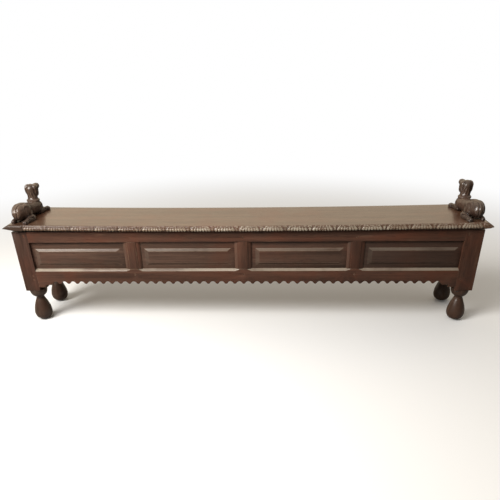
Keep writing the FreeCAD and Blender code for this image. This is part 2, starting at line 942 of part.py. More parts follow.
# Each mass is a loft through rings: its plane, then for each ring the place along the
# plane's normal, the two coordinates of its middle and its two half sizes.
ALONG_Y = "XZ_Plane"
ALONG_Z = "XY_Plane"
ALONG_X = "YZ_Plane"
HOUND_MASSES = {
    "trunk": (
        ALONG_Y,
        (-121, -4, 31, 10, 12),
        (-110, -4, 34, 20, 25),
        (-88, -4, 36, 25, 33),
        (-60, -3, 36, 25, 35),
        (-34, 0, 34, 23, 30),
        (-6, 4, 32, 24, 26),
        (24, 6, 31, 26, 28),
        (46, 6, 29, 26, 27),
        (64, 6, 26, 20, 20),
        (74, 6, 24, 10, 12),
    ),
    "inner_thigh": (ALONG_X, (6, -62, 33, 38, 33), (20, -62, 32, 35, 30), (31, -64, 27, 20, 18)),
    "outer_thigh": (ALONG_X, (-12, -62, 33, 38, 33), (-26, -63, 32, 35, 30), (-37, -66, 27, 20, 18)),
    "inner_shank": (ALONG_Y, (-118, 32, 6, 6, 8), (-90, 35, 7, 8, 9), (-62, 37, 9, 7, 9), (-52, 37, 9, 4, 5)),
    "inner_hind_foot": (ALONG_Y, (-137, 30, 3, 6, 6), (-130, 30, 5, 10, 9), (-113, 31, 5, 9, 9), (-106, 31, 5, 6, 6)),
    "outer_hind_foot": (ALONG_Y, (-126, -28, 3, 5, 6), (-119, -28, 5, 8, 8), (-98, -30, 6, 8, 8), (-72, -30, 8, 6, 8)),
    "inner_foreleg": (ALONG_Y, (28, 24, 12, 9, 13), (60, 26, 10, 9, 11), (80, 28, 8, 8, 9), (98, 30, 6, 6, 6)),
    "inner_paw": (ALONG_Y, (82, 29, 5, 8, 8), (91, 31, 6, 11, 10), (103, 31, 5, 10, 9), (109, 31, 3, 6, 6)),
    "outer_foreleg": (ALONG_Y, (28, -12, 12, 9, 13), (60, -13, 10, 9, 11), (80, -13, 8, 8, 9), (98, -13, 6, 6, 6)),
    "outer_paw": (ALONG_Y, (82, -13, 5, 8, 8), (91, -13, 6, 11, 10), (103, -13, 5, 10, 9), (109, -13, 3, 6, 6)),
    "neck": (
        ALONG_Z,
        (38, 5, 36, 27, 28),
        (54, 4, 40, 23, 24),
        (66, 2, 42, 19, 20),
        (84, 0, 44, 17, 19),
        (100, -2, 46, 18, 21),
        (111, -2, 50, 16, 19),
        (120, -2, 52, 9, 11),
    ),
    "collar": (ALONG_Z, (51, 3, 39, 22, 24), (54, 3, 40, 25, 27), (61, 2, 41, 24, 26), (64, 2, 41, 20, 22)),
    "muzzle": (ALONG_Y, (46, -1, 100, 15, 15), (62, 3, 102, 13, 13), (78, 9, 106, 11, 11), (88, 12, 108, 10, 10), (93, 13, 109, 6, 6)),
    "inner_ear": (ALONG_Z, (75, 18, 52, 3, 6), (80, 18, 52, 4, 10), (98, 17, 50, 5, 12), (113, 12, 50, 6, 10)),
    "outer_ear": (ALONG_Z, (77, -20, 46, 3, 6), (82, -21, 46, 4, 10), (99, -21, 46, 5, 12), (113, -15, 48, 6, 10)),
}
RING_WORDS = ("at", "side", "rise", "half_side", "half_rise")


def mass_sizes(name, rings):
    """The sizes of one mass, written to the sheet ring by ring."""
    sizes = []
    for number, ring in enumerate(rings, 1):
        words = ["%s_%d_%s" % (name, number, word) for word in RING_WORDS]
        cells = driving(**dict(zip(words, ring)))
        sizes.append([cells[word] for word in words])
    return sizes


HOUND_SIZES = {name: mass_sizes(name, mass[1:]) for name, mass in HOUND_MASSES.items()}
doc.recompute()
DOWEL_PLACES = ((-6, -60), (6, 20))


def hound_lean(side):
    """The lid slopes at its ends, so a hound leans with it."""
    slope = math.degrees(math.asin(HOUND["hound_from_middle"].value / bow_radius.value))
    return Rotation(Vector(0, 1, 0), -side * slope)


def hound_point(side, x, y, z):
    """World place of a point of a hound; x is measured inwards."""
    out = HOUND["hound_from_middle"].value
    top = lid_middle_top.value + out * out / (2 * bow_radius.value)
    seat = Vector(side * out, 0, top + HOUND["hound_seat"].value)
    return seat + hound_lean(side).multVec(Vector(-side * x, y, z))


def ring_sketch(body, plane, at, side, rise, half_side, half_rise):
    """Eight-sided ring: a rectangle with its corners taken off."""
    corner = HOUND["ring_corner"]
    near_side = corner * half_side
    near_rise = corner * half_rise
    quarter = ((near_side, half_rise), (half_side, near_rise))
    points = [(side + x, rise + y) for x, y in quarter]
    points += [(side + x, rise - y) for x, y in quarter[::-1]]
    points += [(side - x, rise - y) for x, y in quarter]
    points += [(side - x, rise + y) for x, y in quarter[::-1]]
    sketch = sketch_on(body, plane, -at if plane == ALONG_Y else at)
    outline(sketch, points)
    return sketch


def hound(label):
    """Carved hound for the left end: its masses fused, cut flat where it sits on the lid."""
    body = new_body(label)
    for name, sizes in HOUND_SIZES.items():
        plane = HOUND_MASSES[name][0]
        sketches = [ring_sketch(body, plane, *ring) for ring in sizes]
        loft = body.newObject("PartDesign::AdditiveLoft", name)
        loft.Profile = sketches[0]
        loft.Sections = sketches[1:]
        loft.Ruled = True
    clear = HOUND["hound_clear"]
    block(body, "Subtractive", (-2 * clear, 2 * clear), (-3 * clear, 3 * clear), (-clear, 0))
    for x, y in DOWEL_PLACES:
        hole = body.newObject("PartDesign::SubtractiveCylinder", "DowelHole")
        bind(hole, "Radius", HOUND["dowel_radius"])
        bind(hole, "Height", HOUND["dowel_length"])
        hole.Placement.Base = Vector(x, y, -HOUND["dowel_length"].value / 2)
    body.Placement = FreeCAD.Placement(hound_point(-1, 0, 0, 0), hound_lean(-1))
    return body


def hound_dowels():
    dowels = []
    for side in (-1, 1):
        for x, y in DOWEL_PLACES:
            dowel = doc.addObject("Part::Cylinder", "Dowel")
            bind(dowel, "Radius", HOUND["dowel_radius"])
            bind(dowel, "Height", HOUND["dowel_length"])
            at = hound_point(side, x, y, -HOUND["dowel_length"].value / 2)
            dowel.Placement = FreeCAD.Placement(at, hound_lean(side))
            dowels.append(dowel)
    group("hound_dowels", dowels)


lid_board()
left_hound = hound("hound_left")
right_hound = doc.addObject("Part::Mirroring", "hound_right")
right_hound.Label = "hound_right"
right_hound.Source = left_hound
right_hound.Base = (0, 0, 0)
right_hound.Normal = (1, 0, 0)
hound_dowels()


def hinge_leaf(label, x, upward):
    """One leaf of a butt hinge: a ring padded along the pin, a plate, and gaps for the other leaf."""
    length = HINGE["hinge_length"]
    half = length / 2
    thickness = HINGE["leaf_thickness"]
    ring = HINGE["knuckle_radius"]
    bore_radius = HINGE["pin_radius"] + BOX["fit_gap"]
    body = new_body(label)
    sketch = sketch_on(body, "YZ_Plane", -half)
    for radius in (ring, bore_radius):
        centre = Vector(ring.value, 0, 0)
        circle = sketch.addGeometry(Part.Circle(centre, Vector(0, 0, 1), radius.value), False)
        pin_point(sketch, circle, 3, (ring, 0))
        index = sketch.addConstraint(Sketcher.Constraint("Radius", circle, radius.value))
        sketch.setExpression("Constraints[%d]" % index, radius.text)
    pad(body, sketch, length)
    stop = HINGE["leaf_stop"]
    z = (stop, HINGE["lid_leaf_rise"]) if upward else (-HINGE["box_leaf_drop"], -stop)
    block(body, "Additive", (-half, half), (0, thickness), z)
    count = int(HINGE["knuckle_count"].value)
    each = length / HINGE["knuckle_count"]
    gap = HINGE["knuckle_gap"] / 2
    reach = HINGE["knuckle_reach"]
    for index in range(count):
        own = (index % 2 == 1) == upward
        if own:
            continue
        low = -half + index * each - gap
        high = -half + (index + 1) * each + gap
        block(body, "Subtractive", (low, high), (-1, 2 * ring + 1), (-reach, reach))
    place(body, x, box_back, pivot_height)
    return body


def hinge_pin(label, x):
    pin = doc.addObject("Part::Cylinder", label)
    pin.Label = label
    half = HINGE["hinge_length"] / 2 + HINGE["pin_end"]
    bind(pin, "Radius", HINGE["pin_radius"])
    bind(pin, "Height", 2 * half)
    start = Vector((x - half).value, 0, 0)
    pin.Placement = FreeCAD.Placement(start, Rotation(Vector(0, 1, 0), 90))
    for axis, size in zip("xyz", (x - half, box_back + HINGE["knuckle_radius"], pivot_height)):
        bind(pin, "Placement.Base." + axis, size)


for word, side in (("left", -1), ("middle", 0), ("right", 1)):
    hinge_x = side * HINGE["hinge_spacing"]
    hinge_leaf("hinge_box_leaf_" + word, hinge_x, upward=False)
    hinge_leaf("hinge_lid_leaf_" + word, hinge_x, upward=True)
    hinge_pin("hinge_pin_" + word, hinge_x)

doc.recompute()


def nodes():
    """Every labelled piece: the bodies, groups and part features that no other piece uses."""
    kinds = ("PartDesign::Body", "Part::Compound", "Part::Mirroring", "Part::Cylinder")
    used = set()
    for item in doc.Objects:
        if item.TypeId == "Part::Compound":
            used.update(link.Name for link in item.Links)
    return [item for item in doc.Objects if item.TypeId in kinds and item.Name not in used]


for item in doc.Objects:
    failed = [word for word in item.State if word in ("Invalid", "Error")]
    if failed:
        raise RuntimeError("%s (%s) failed: %s" % (item.Label, item.TypeId, failed))

os.makedirs("parts", exist_ok=True)
for piece in nodes():
    shape = piece.Shape
    if shape.isNull() or not shape.isValid():
        raise RuntimeError(piece.Label + " has no valid shape")
    shape.exportStep("parts/%s.step" % piece.Label)
    print(piece.Label, len(shape.Solids), round(shape.Volume / 1000, 2))
print("nodes:", len(nodes()))
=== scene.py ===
import json
import math
import random

import bpy
import numpy as np
from mathutils import Matrix, Vector, noise


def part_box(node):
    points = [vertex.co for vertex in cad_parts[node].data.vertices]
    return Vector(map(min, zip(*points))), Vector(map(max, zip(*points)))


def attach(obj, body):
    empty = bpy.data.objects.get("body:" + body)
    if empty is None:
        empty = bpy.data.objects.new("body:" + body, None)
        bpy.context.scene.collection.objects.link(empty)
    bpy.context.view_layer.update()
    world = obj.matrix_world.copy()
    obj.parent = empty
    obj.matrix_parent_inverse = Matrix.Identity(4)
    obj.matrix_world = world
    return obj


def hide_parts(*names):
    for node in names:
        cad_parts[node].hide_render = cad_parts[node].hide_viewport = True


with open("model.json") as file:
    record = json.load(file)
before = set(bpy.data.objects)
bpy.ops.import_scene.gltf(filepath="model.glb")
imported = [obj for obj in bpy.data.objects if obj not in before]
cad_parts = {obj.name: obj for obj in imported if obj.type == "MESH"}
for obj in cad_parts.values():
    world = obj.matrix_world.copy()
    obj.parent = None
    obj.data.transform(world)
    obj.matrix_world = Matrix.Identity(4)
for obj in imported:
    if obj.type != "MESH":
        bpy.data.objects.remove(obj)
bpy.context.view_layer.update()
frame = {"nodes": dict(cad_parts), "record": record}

# Long box settle in dark waxed oak: worn joinery, a carved edge along the lid,
# turned feet and two carved hounds. Metres, +X right, +Y back, +Z up, floor at z = 0.

bpy.ops.object.select_all(action="DESELECT")
chance = random.Random(7)
MM = 0.001

# Camera: the place and angle that the photograph was taken from.
IMAGE_PIXELS = 500
FOCAL_PIXELS = 486.3
AXIS_BELOW_MIDDLE = 75
CAMERA_PLACE = Vector((0.0999, -2.0168, 1.0149))
CAMERA_PITCH = math.radians(-28.63)
CAMERA_YAW = math.radians(-2.503)
CAMERA_ROLL = math.radians(-1.082)


def fitted_camera():
    """A camera that sees the bench as the photograph shows it."""
    data = bpy.data.cameras.new("camera")
    camera = bpy.data.objects.new("camera", data)
    bpy.context.collection.objects.link(camera)
    data.lens = data.sensor_width * FOCAL_PIXELS / IMAGE_PIXELS
    data.shift_y = AXIS_BELOW_MIDDLE / IMAGE_PIXELS
    level = math.cos(CAMERA_PITCH)
    ahead = Vector((math.sin(CAMERA_YAW) * level, math.cos(CAMERA_YAW) * level, math.sin(CAMERA_PITCH)))
    flat_right = Vector((math.cos(CAMERA_YAW), -math.sin(CAMERA_YAW), 0))
    flat_up = flat_right.cross(ahead)
    right = flat_right * math.cos(CAMERA_ROLL) + flat_up * math.sin(CAMERA_ROLL)
    up = flat_up * math.cos(CAMERA_ROLL) - flat_right * math.sin(CAMERA_ROLL)
    turn = Matrix((right, up, -ahead)).transposed()
    camera.matrix_world = Matrix.Translation(CAMERA_PLACE) @ turn.to_4x4()
    return camera


bpy.context.scene.camera = fitted_camera()
bpy.context.scene.view_settings.view_transform = "Standard"


# Materials


class Wire:
    """A value on its way through a material; arithmetic on it adds Math nodes."""

    def __init__(self, mix, output):
        self.mix = mix
        self.output = output

    def step(self, operation, *values):
        return self.mix.node("ShaderNodeMath", {"operation": operation}, dict(enumerate(values)))

    def __add__(self, other):
        return self.step("ADD", self, other)

    def __sub__(self, other):
        return self.step("SUBTRACT", self, other)

    def __rsub__(self, other):
        return self.step("SUBTRACT", other, self)

    def __mul__(self, other):
        return self.step("MULTIPLY", self, other)

    __radd__ = __add__
    __rmul__ = __mul__

    def between(self, low, high):
        """0 below low, 1 above high, and smooth in between."""
        settings = {"interpolation_type": "SMOOTHSTEP", "clamp": True}
        return self.mix.node("ShaderNodeMapRange", settings, {0: self, 1: low, 2: high})


class Mix:
    """Nodes being put together in a material or a world."""

    def __init__(self, tree):
        self.tree = tree

    def node(self, kind, settings=None, values=None, output=0):
        """Any node: settings are set first, then values or links by input name or index."""
        made = self.tree.nodes.new(kind)
        for name, value in (settings or {}).items():
            setattr(made, name, value)
        for name, value in (values or {}).items():
            self.feed(made.inputs[name], value)
        return Wire(self, made.outputs[output])

    def feed(self, socket, value):
        if isinstance(value, Wire):
            self.tree.links.new(value.output, socket)
        elif socket.type == "RGBA" and len(value) == 3:
            socket.default_value = (*value, 1)
        else:
            socket.default_value = value

    def object_place(self):
        """Place in the object's own space."""
        return self.node("ShaderNodeTexCoord", None, output=3)

    def grain_place(self):
        """Place along and across the grain, from the piece's own attribute."""
        return self.node("ShaderNodeAttribute", {"attribute_name": "grain"}, output=1)

    def share(self, name):
        """A share from 0 to 1 stored on the piece: worn edges, soil in hollows, dusty ledges, polish, and
        on some pieces painted shade and painted light in the same shares.
        """
        return self.node("ShaderNodeAttribute", {"attribute_name": name}, output=2)

    def stretched(self, place, along, across):
        """A place scaled along and across the grain, so that noise on it runs with the grain."""
        return self.node("ShaderNodeMapping", None, {"Vector": place, "Scale": (along, across, across)})

    def noise(self, place, scale, detail=4, roughness=0.5):
        values = {"Vector": place, "Scale": scale, "Detail": detail, "Roughness": roughness}
        return self.node("ShaderNodeTexNoise", None, values)

    def blend(self, share, first, second):
        return self.node("ShaderNodeMix", {"data_type": "RGBA"}, {0: share, 6: first, 7: second}, output=2)

    def bump(self, height, distance, strength):
        values = {"Height": height, "Distance": distance, "Strength": strength}
        return self.node("ShaderNodeBump", None, values)

    def seen(self, *kinds):
        """1 where one of these kinds of ray meets the surface, 0 where it only gives light."""
        rays = [self.node("ShaderNodeLightPath", None, output="Is %s Ray" % kind) for kind in kinds]
        most = rays[0]
        for ray in rays[1:]:
            most = most.step("MAXIMUM", most, ray)
        return most


class Finish(Mix):
    """A material being mixed, with its shader at the end."""

    def __init__(self, name):
        self.material = bpy.data.materials.new(name)
        self.material.use_nodes = True
        super().__init__(self.material.node_tree)
        self.shader = self.tree.nodes["Principled BSDF"]

    def end(self, **values):
        """Feed the shader: each name is the socket's own, with underscores for spaces."""
        for name, value in values.items():
            self.feed(self.shader.inputs[name.replace("_", " ")], value)
        return self.material


PALE_DUST_AND_LIGHT = (0.38, 0.33, 0.26)


def waxed_oak(name, dark, tone, worn, gloss, shine=0.3, coat=0.1):
    """Old oak: grain, open pores, ray flecks, red patches, worn edges, soil in hollows, dusty ledges, and
    the painted shade and painted light that some pieces keep in their shares.

    The wax coat is one weight all over, or the name of a share stored on the piece."""
    oak = Finish(name)
    grain = oak.grain_place()
    bands = oak.noise(oak.stretched(grain, 1.6, 26), 1, 3, 0.55)
    streaks = oak.noise(oak.stretched(grain, 4, 170), 1, 2, 0.6)
    pores = oak.noise(oak.stretched(grain, 26, 700), 1, 2, 0.6).between(0.56, 0.7)
    flecks = oak.noise(oak.stretched(grain, 11, 95), 1, 2, 0.5).between(0.63, 0.76)
    patches = oak.noise(grain, 6, 3, 0.6)
    scuffs = oak.noise(oak.stretched(grain, 30, 12), 1, 5, 0.75)
    red = (tone[0] * 1.15, tone[1] * 0.75, tone[2] * 0.6)
    grime_and_shade = tuple(part * 0.3 for part in dark)
    colour = oak.blend((bands * 0.7 + streaks * 0.3).between(0.35, 0.65), dark, tone)
    colour = oak.blend(patches.between(0.45, 0.7) * 0.45, colour, red)
    colour = oak.blend(flecks * 0.2, colour, worn)
    colour = oak.blend(pores * 0.5, colour, grime_and_shade)
    # Paler where worn; on the lid's carved edge this share also holds a painted highlight and painted
    # shade, and on the hounds painted shade.
    wear_and_light = oak.share("worn") * scuffs.between(0.3, 0.55)
    colour = oak.blend(wear_and_light, colour, worn)
    # Darker in soiled hollows, and darker where a piece keeps painted shade in this share.
    colour = oak.blend(oak.share("dirt_and_shade") * 0.8, colour, grime_and_shade)
    # Paler on dusty ledges, which also carry a painted sheen, and on the faces and carved ridges where a
    # piece keeps painted light in this share.
    patchy_spread = patches.between(0.35, 0.6) * 0.55 + scuffs * 0.4 + 0.2
    colour = oak.blend(oak.share("dust_and_light") * patchy_spread, colour, PALE_DUST_AND_LIGHT)
    height = bands * 0.5 + streaks * 0.15 - pores * 0.35 - scuffs.between(0.62, 0.7) * 0.3
    return oak.end(
        Base_Color=colour,
        Roughness=patches * 0.2 + pores * 0.12 + oak.share("dirt_and_shade") * 0.3 + (gloss - 0.1),
        Normal=oak.bump(height, 0.0006, 0.55),
        Specular_IOR_Level=shine,
        Coat_Weight=oak.share(coat) if isinstance(coat, str) else coat,
        Coat_Roughness=0.16,
        Coat_IOR=1.5,
    )


def bare_oak():
    """Unwaxed oak inside the box: grain along X, dry and pale brown."""
    oak = Finish("inside oak")
    place = oak.object_place()
    bands = oak.noise(oak.stretched(place, 1.6, 30), 1, 3, 0.55)
    pores = oak.noise(oak.stretched(place, 22, 620), 1, 2, 0.6).between(0.56, 0.72)
    colour = oak.blend(bands.between(0.3, 0.7), (0.12, 0.07, 0.04), (0.19, 0.12, 0.07))
    colour = oak.blend(pores * 0.5, colour, (0.06, 0.035, 0.02))
    relief = oak.bump(bands - pores, 0.0005, 0.5)
    return oak.end(Base_Color=colour, Roughness=bands * 0.2 + 0.55, Normal=relief)


def old_iron():
    """Dull black iron with specks of rust."""
    iron = Finish("old iron")
    rust = iron.noise(iron.object_place(), 160, 4, 0.6)
    colour = iron.blend(rust.between(0.45, 0.7), (0.035, 0.032, 0.03), (0.11, 0.055, 0.03))
    return iron.end(
        Base_Color=colour,
        Metallic=0.7,
        Roughness=rust * 0.4 + 0.4,
        Normal=iron.bump(rust, 0.0003, 0.6),
    )


FINISHES = {
    "frame_oak": waxed_oak(
        "frame oak", (0.062, 0.029, 0.019), (0.122, 0.055, 0.035), (0.25, 0.165, 0.1), gloss=0.4
    ),
    "panel_oak": waxed_oak(
        "panel oak", (0.06, 0.033, 0.023), (0.116, 0.064, 0.045), (0.2, 0.13, 0.09), gloss=0.38
    ),
    "lid_oak": waxed_oak(
        "lid oak", (0.085, 0.042, 0.023), (0.14, 0.072, 0.042), (0.44, 0.35, 0.23),
        gloss=0.34, shine=0.5, coat="polish",
    ),
    "carved_oak": waxed_oak(
        "carved oak", (0.036, 0.021, 0.015), (0.076, 0.046, 0.032), (0.2, 0.14, 0.1),
        gloss=0.32, shine=0.4, coat=0.6,
    ),
    "turned_oak": waxed_oak(
        "turned oak", (0.042, 0.021, 0.012), (0.07, 0.036, 0.023), (0.16, 0.1, 0.065),
        gloss=0.36, shine=0.4, coat=0.35,
    ),
    "inside_oak": bare_oak(),
    "iron": old_iron(),
}
SLOTS = {part["node"]: part["material_slot"] for part in frame["record"]["subparts"]}
BODIES = {
    node: body for body, nodes in frame["record"]["behaviour"]["bodies"].items() for node in nodes
}

for node, thing in frame["nodes"].items():
    thing.data.materials.clear()
    thing.data.materials.append(FINISHES[SLOTS[node]])


# Worn joinery: each board is its own copy with rubbed arrises and its own run of grain.


def grain_axes(along):
    """Rows that turn a place into one along and two across the grain."""
    first = {"x": (1, 0, 0), "y": (0, 1, 0), "z": (0, 0, 1)}[along]
    second = {"x": (0, 1, 0), "y": (0, 0, 1), "z": (1, 0, 0)}[along]
    return Matrix((first, second, Vector(first).cross(Vector(second))))


def write_grain(piece, along):
    """Store where each point lies along and across the grain, shifted to another part of the log."""
    shift = np.array([chance.uniform(0, 9) for _ in range(3)])
    places = points_of(piece) @ np.array(grain_axes(along)).T + shift
    spots = piece.data.attributes.new("grain", "FLOAT_VECTOR", "POINT")
    spots.data.foreach_set("vector", places.astype(np.float32).ravel())


def points_of(piece):
    places = np.empty(3 * len(piece.data.vertices), np.float32)
    piece.data.vertices.foreach_get("co", places)
    return places.reshape(-1, 3).astype(float)


def normals_of(piece):
    normals = np.empty(3 * len(piece.data.vertices), np.float32)
    piece.data.vertex_normals.foreach_get("vector", normals)
    return normals.reshape(-1, 3).astype(float)


def move_points(piece, places):
    piece.data.vertices.foreach_set("co", places.astype(np.float32).ravel())
    piece.data.update()


def write_share(piece, name, values):
    share = piece.data.attributes.new(name, "FLOAT", "POINT")
    share.data.foreach_set("value", np.clip(values, 0, 1).astype(np.float32))


def mark_relief(piece, spread, strength, extra=0):
    """Find ridges and hollows from how each point stands to its neighbours: worn on ridges, soil in
    hollows; an extra share, which carries painted shade and painted light on some pieces, is added to worn
    and taken from dirt_and_shade.
    """
    pairs = np.empty(2 * len(piece.data.edges), np.int32)
    piece.data.edges.foreach_get("vertices", pairs)
    one, other = pairs.reshape(-1, 2).T
    places, normals = points_of(piece), normals_of(piece)
    step = places[other] - places[one]
    square = np.maximum((step * step).sum(1), 1e-12)
    count = len(places)
    near = np.bincount(one, minlength=count) + np.bincount(other, minlength=count)
    near = np.maximum(near, 1)

    def gather(to_one, to_other):
        total = np.bincount(one, weights=to_one, minlength=count)
        return (total + np.bincount(other, weights=to_other, minlength=count)) / near

    relief = -gather((normals[one] * step).sum(1) / square, -(normals[other] * step).sum(1) / square)
    for _ in range(spread):
        relief = 0.5 * relief + 0.5 * gather(relief[other], relief[one])
    write_share(piece, "worn", relief * strength + extra)
    write_share(piece, "dirt_and_shade", -relief * strength - extra)


def only(piece):
    bpy.ops.object.select_all(action="DESELECT")
    piece.select_set(True)
    bpy.context.view_layer.objects.active = piece


def own_copy(node, name):
    """A copy of a node's mesh without its doubled points and flat edges."""
    source = frame["nodes"][node]
    piece = bpy.data.objects.new(name, source.data.copy())
    bpy.context.collection.objects.link(piece)
    only(piece)
    bpy.ops.object.mode_set(mode="EDIT")
    bpy.ops.mesh.select_all(action="SELECT")
    bpy.ops.mesh.remove_doubles(threshold=0.02 * MM)
    bpy.ops.mesh.dissolve_limited(angle_limit=math.radians(0.5))
    bpy.ops.object.mode_set(mode="OBJECT")
    bpy.ops.mesh.customdata_custom_splitnormals_clear()
    return piece


def rub_arrises(piece, width):
    """Round the sharp edges and mark the new narrow faces as worn."""
    rounding = piece.modifiers.new("arris", "BEVEL")
    rounding.width = width
    rounding.segments = 2
    rounding.limit_method = "ANGLE"
    rounding.angle_limit = math.radians(28)
    rounding.material = 1
    rounding.use_clamp_overlap = True
    piece.data.materials.append(None)
    apply_modifier(piece, rounding)
    marks = piece.data.attributes.new("worn", "FLOAT", "FACE")
    for face, mark in zip(piece.data.polygons, marks.data):
        mark.value = 1.0 if face.material_index == 1 else 0.0
        face.material_index = 0
    piece.data.materials.pop(index=1)


def apply_modifier(piece, modifier):
    only(piece)
    bpy.ops.object.modifier_apply(modifier=modifier.name)


def stand_for(piece, node):
    """Give a piece the finish, the body and the slot of the node that it replaces."""
    piece.data.materials.clear()
    piece.data.materials.append(FINISHES[SLOTS[node]])
    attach(piece, BODIES[node])
    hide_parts(node)


ARCH_COUNT = 44
ARCH_INSET = 0.058
ARCH_SHARE = 0.74
ARCH_BAND = 28 * MM


def narrow_arches(rail):
    """Draw each arch in towards its middle, which leaves broad blunt pendants between the arches."""
    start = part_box("front_stile_left")[1][0] + ARCH_INSET
    pitch = (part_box("front_stile_right")[0][0] - ARCH_INSET - start) / ARCH_COUNT
    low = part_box("front_bottom_rail")[0][2]
    places = points_of(rail)
    along = (places[:, 0] - start) / pitch
    middle = np.floor(along) + 0.5
    aside = along - middle
    inside = (along > 0.01) & (along < ARCH_COUNT - 0.01) & (np.abs(aside) < 0.49)
    drawn_in = inside & (places[:, 2] < low + ARCH_BAND)
    places[:, 0] = np.where(drawn_in, start + (middle + aside * ARCH_SHARE) * pitch, places[:, 0])
    move_points(rail, places)


def dust_and_light_on_ledges(piece, amount):
    """A pale dusty tone and a painted sheen on the narrow faces that look up and forward, and a fainter
    painted light on those that face left, as from the lamp on the left.
    """
    marks = piece.data.attributes.new("dust_and_light", "FLOAT", "FACE")
    for face, mark in zip(piece.data.polygons, marks.data):
        upward = face.normal.z > 0.25 and face.normal.y < -0.25
        leftward = face.normal.x < -0.2 and face.normal.y < -0.6
        mark.value = amount if upward else amount * 0.4 if leftward else 0.0


# Boards painted darker than the others, and by how much: painted shade that stands in for less light on the
# left stile and on the boards towards the right end.
SHADED_BOARDS = {"front_stile_left": 0.5, "front_panel_3": 0.12, "front_panel_4": 0.6, "front_muntin_right": 0.2}


def worn_board(node, along, width=1.2 * MM, dust_and_light=0.0):
    """Replace a node by a worn copy whose grain runs along one axis."""
    piece = own_copy(node, "worn_" + node)
    if node == "front_bottom_rail":
        narrow_arches(piece)
    rub_arrises(piece, width)
    dust_and_light_on_ledges(piece, dust_and_light)
    # Painted shade: the whole board is darkened by its share from the table above.
    write_share(piece, "dirt_and_shade", np.full(len(piece.data.vertices), SHADED_BOARDS.get(node, 0)))
    bpy.ops.object.shade_smooth_by_angle(angle=math.radians(35))
    write_grain(piece, along)
    stand_for(piece, node)


for side in ("front", "back"):
    worn_board(side + "_top_rail", "x")
    worn_board(side + "_bottom_rail", "x", dust_and_light=0.75)
    for word in ("left", "middle", "right"):
        worn_board("%s_muntin_%s" % (side, word), "z", dust_and_light=0.18)
    for word in ("left", "right"):
        worn_board("%s_stile_%s" % (side, word), "z")
    for number in range(1, 5):
        worn_board("%s_panel_%d" % (side, number), "x", 0.8 * MM, dust_and_light=0.28)
for end in ("left_end", "right_end"):
    for part in ("_top_rail", "_bottom_rail"):
        worn_board(end + part, "y")
    worn_board(end + "_panel", "y", 0.8 * MM)
worn_board("frame_pegs", "y", 0.4 * MM)


# The lid: a bowed plank whose front edge is carved with fans of seven lobes between darts.

LID_HALF = 0.975
LID_MIDDLE_TOP = 0.4363
LID_BOW = 0.009
LID_FRONT = -0.1465
LID_THICK = 0.024
NOSE_RUN = 0.038
NOSE_FALL_LEFT = 0.0125
NOSE_FALL_RIGHT = 0.0155
# Where the taper under each end begins, from the middle, and how steep it is.
NOSE_UNDER_LEFT = (0.89, 0.018 / 0.085)
NOSE_UNDER_RIGHT = (0.944, 0.0145 / 0.031)
CARVED_FROM = -0.898
CARVED_TO = 0.94
MOTIF_COUNT = 19
LOBES = 7
FAN_HALF, FAN_SPREAD = 0.026, 0.014
DART_HALF, DART_NARROWS = 0.0195, 0.0145
CARVED_HEIGHT = 0.0225
COLUMNS = 1300
ARRIS_ROUND = 9
CUT_DEPTH = 2.6 * MM
COVE_DEPTH = 2.2 * MM
RIGHT_SAG = 4.2 * MM


def lid_section():
    """Outline of the plank in millimetres, from its lower back arris round the front to its back."""
    outline = [(283.9, -23), (282.4, -24), (220, -24), (120, -24), (40, -24), (14, -24), (5, -24)]
    for step in range(5):
        turn = math.radians(-58 + 11.6 * step)
        outline.append((6.9 - 6.9 * math.cos(turn), -17.6 + 6.9 * math.sin(turn)))
    outline += [(0, -17.4 + 1.4 * step) for step in range(6)]
    for step in range(11):
        turn = math.radians(9 * step)
        outline.append((ARRIS_ROUND * (1 - math.cos(turn)), ARRIS_ROUND * (math.sin(turn) - 1)))
    outline += [(12, 0), (30, 0), (70, 0), (130, 0), (190, 0), (250, 0), (278, 0), (281.8, -0.1)]
    outline += [(283.2, -0.8), (283.9, -2.4), (283.9, -12)]
    return np.array(outline) * MM


def smooth_step(value, low, high):
    """0 at low, 1 at high, and smooth in between."""
    share = np.clip((value - low) / (high - low), 0, 1)
    return share * share * (3 - 2 * share)


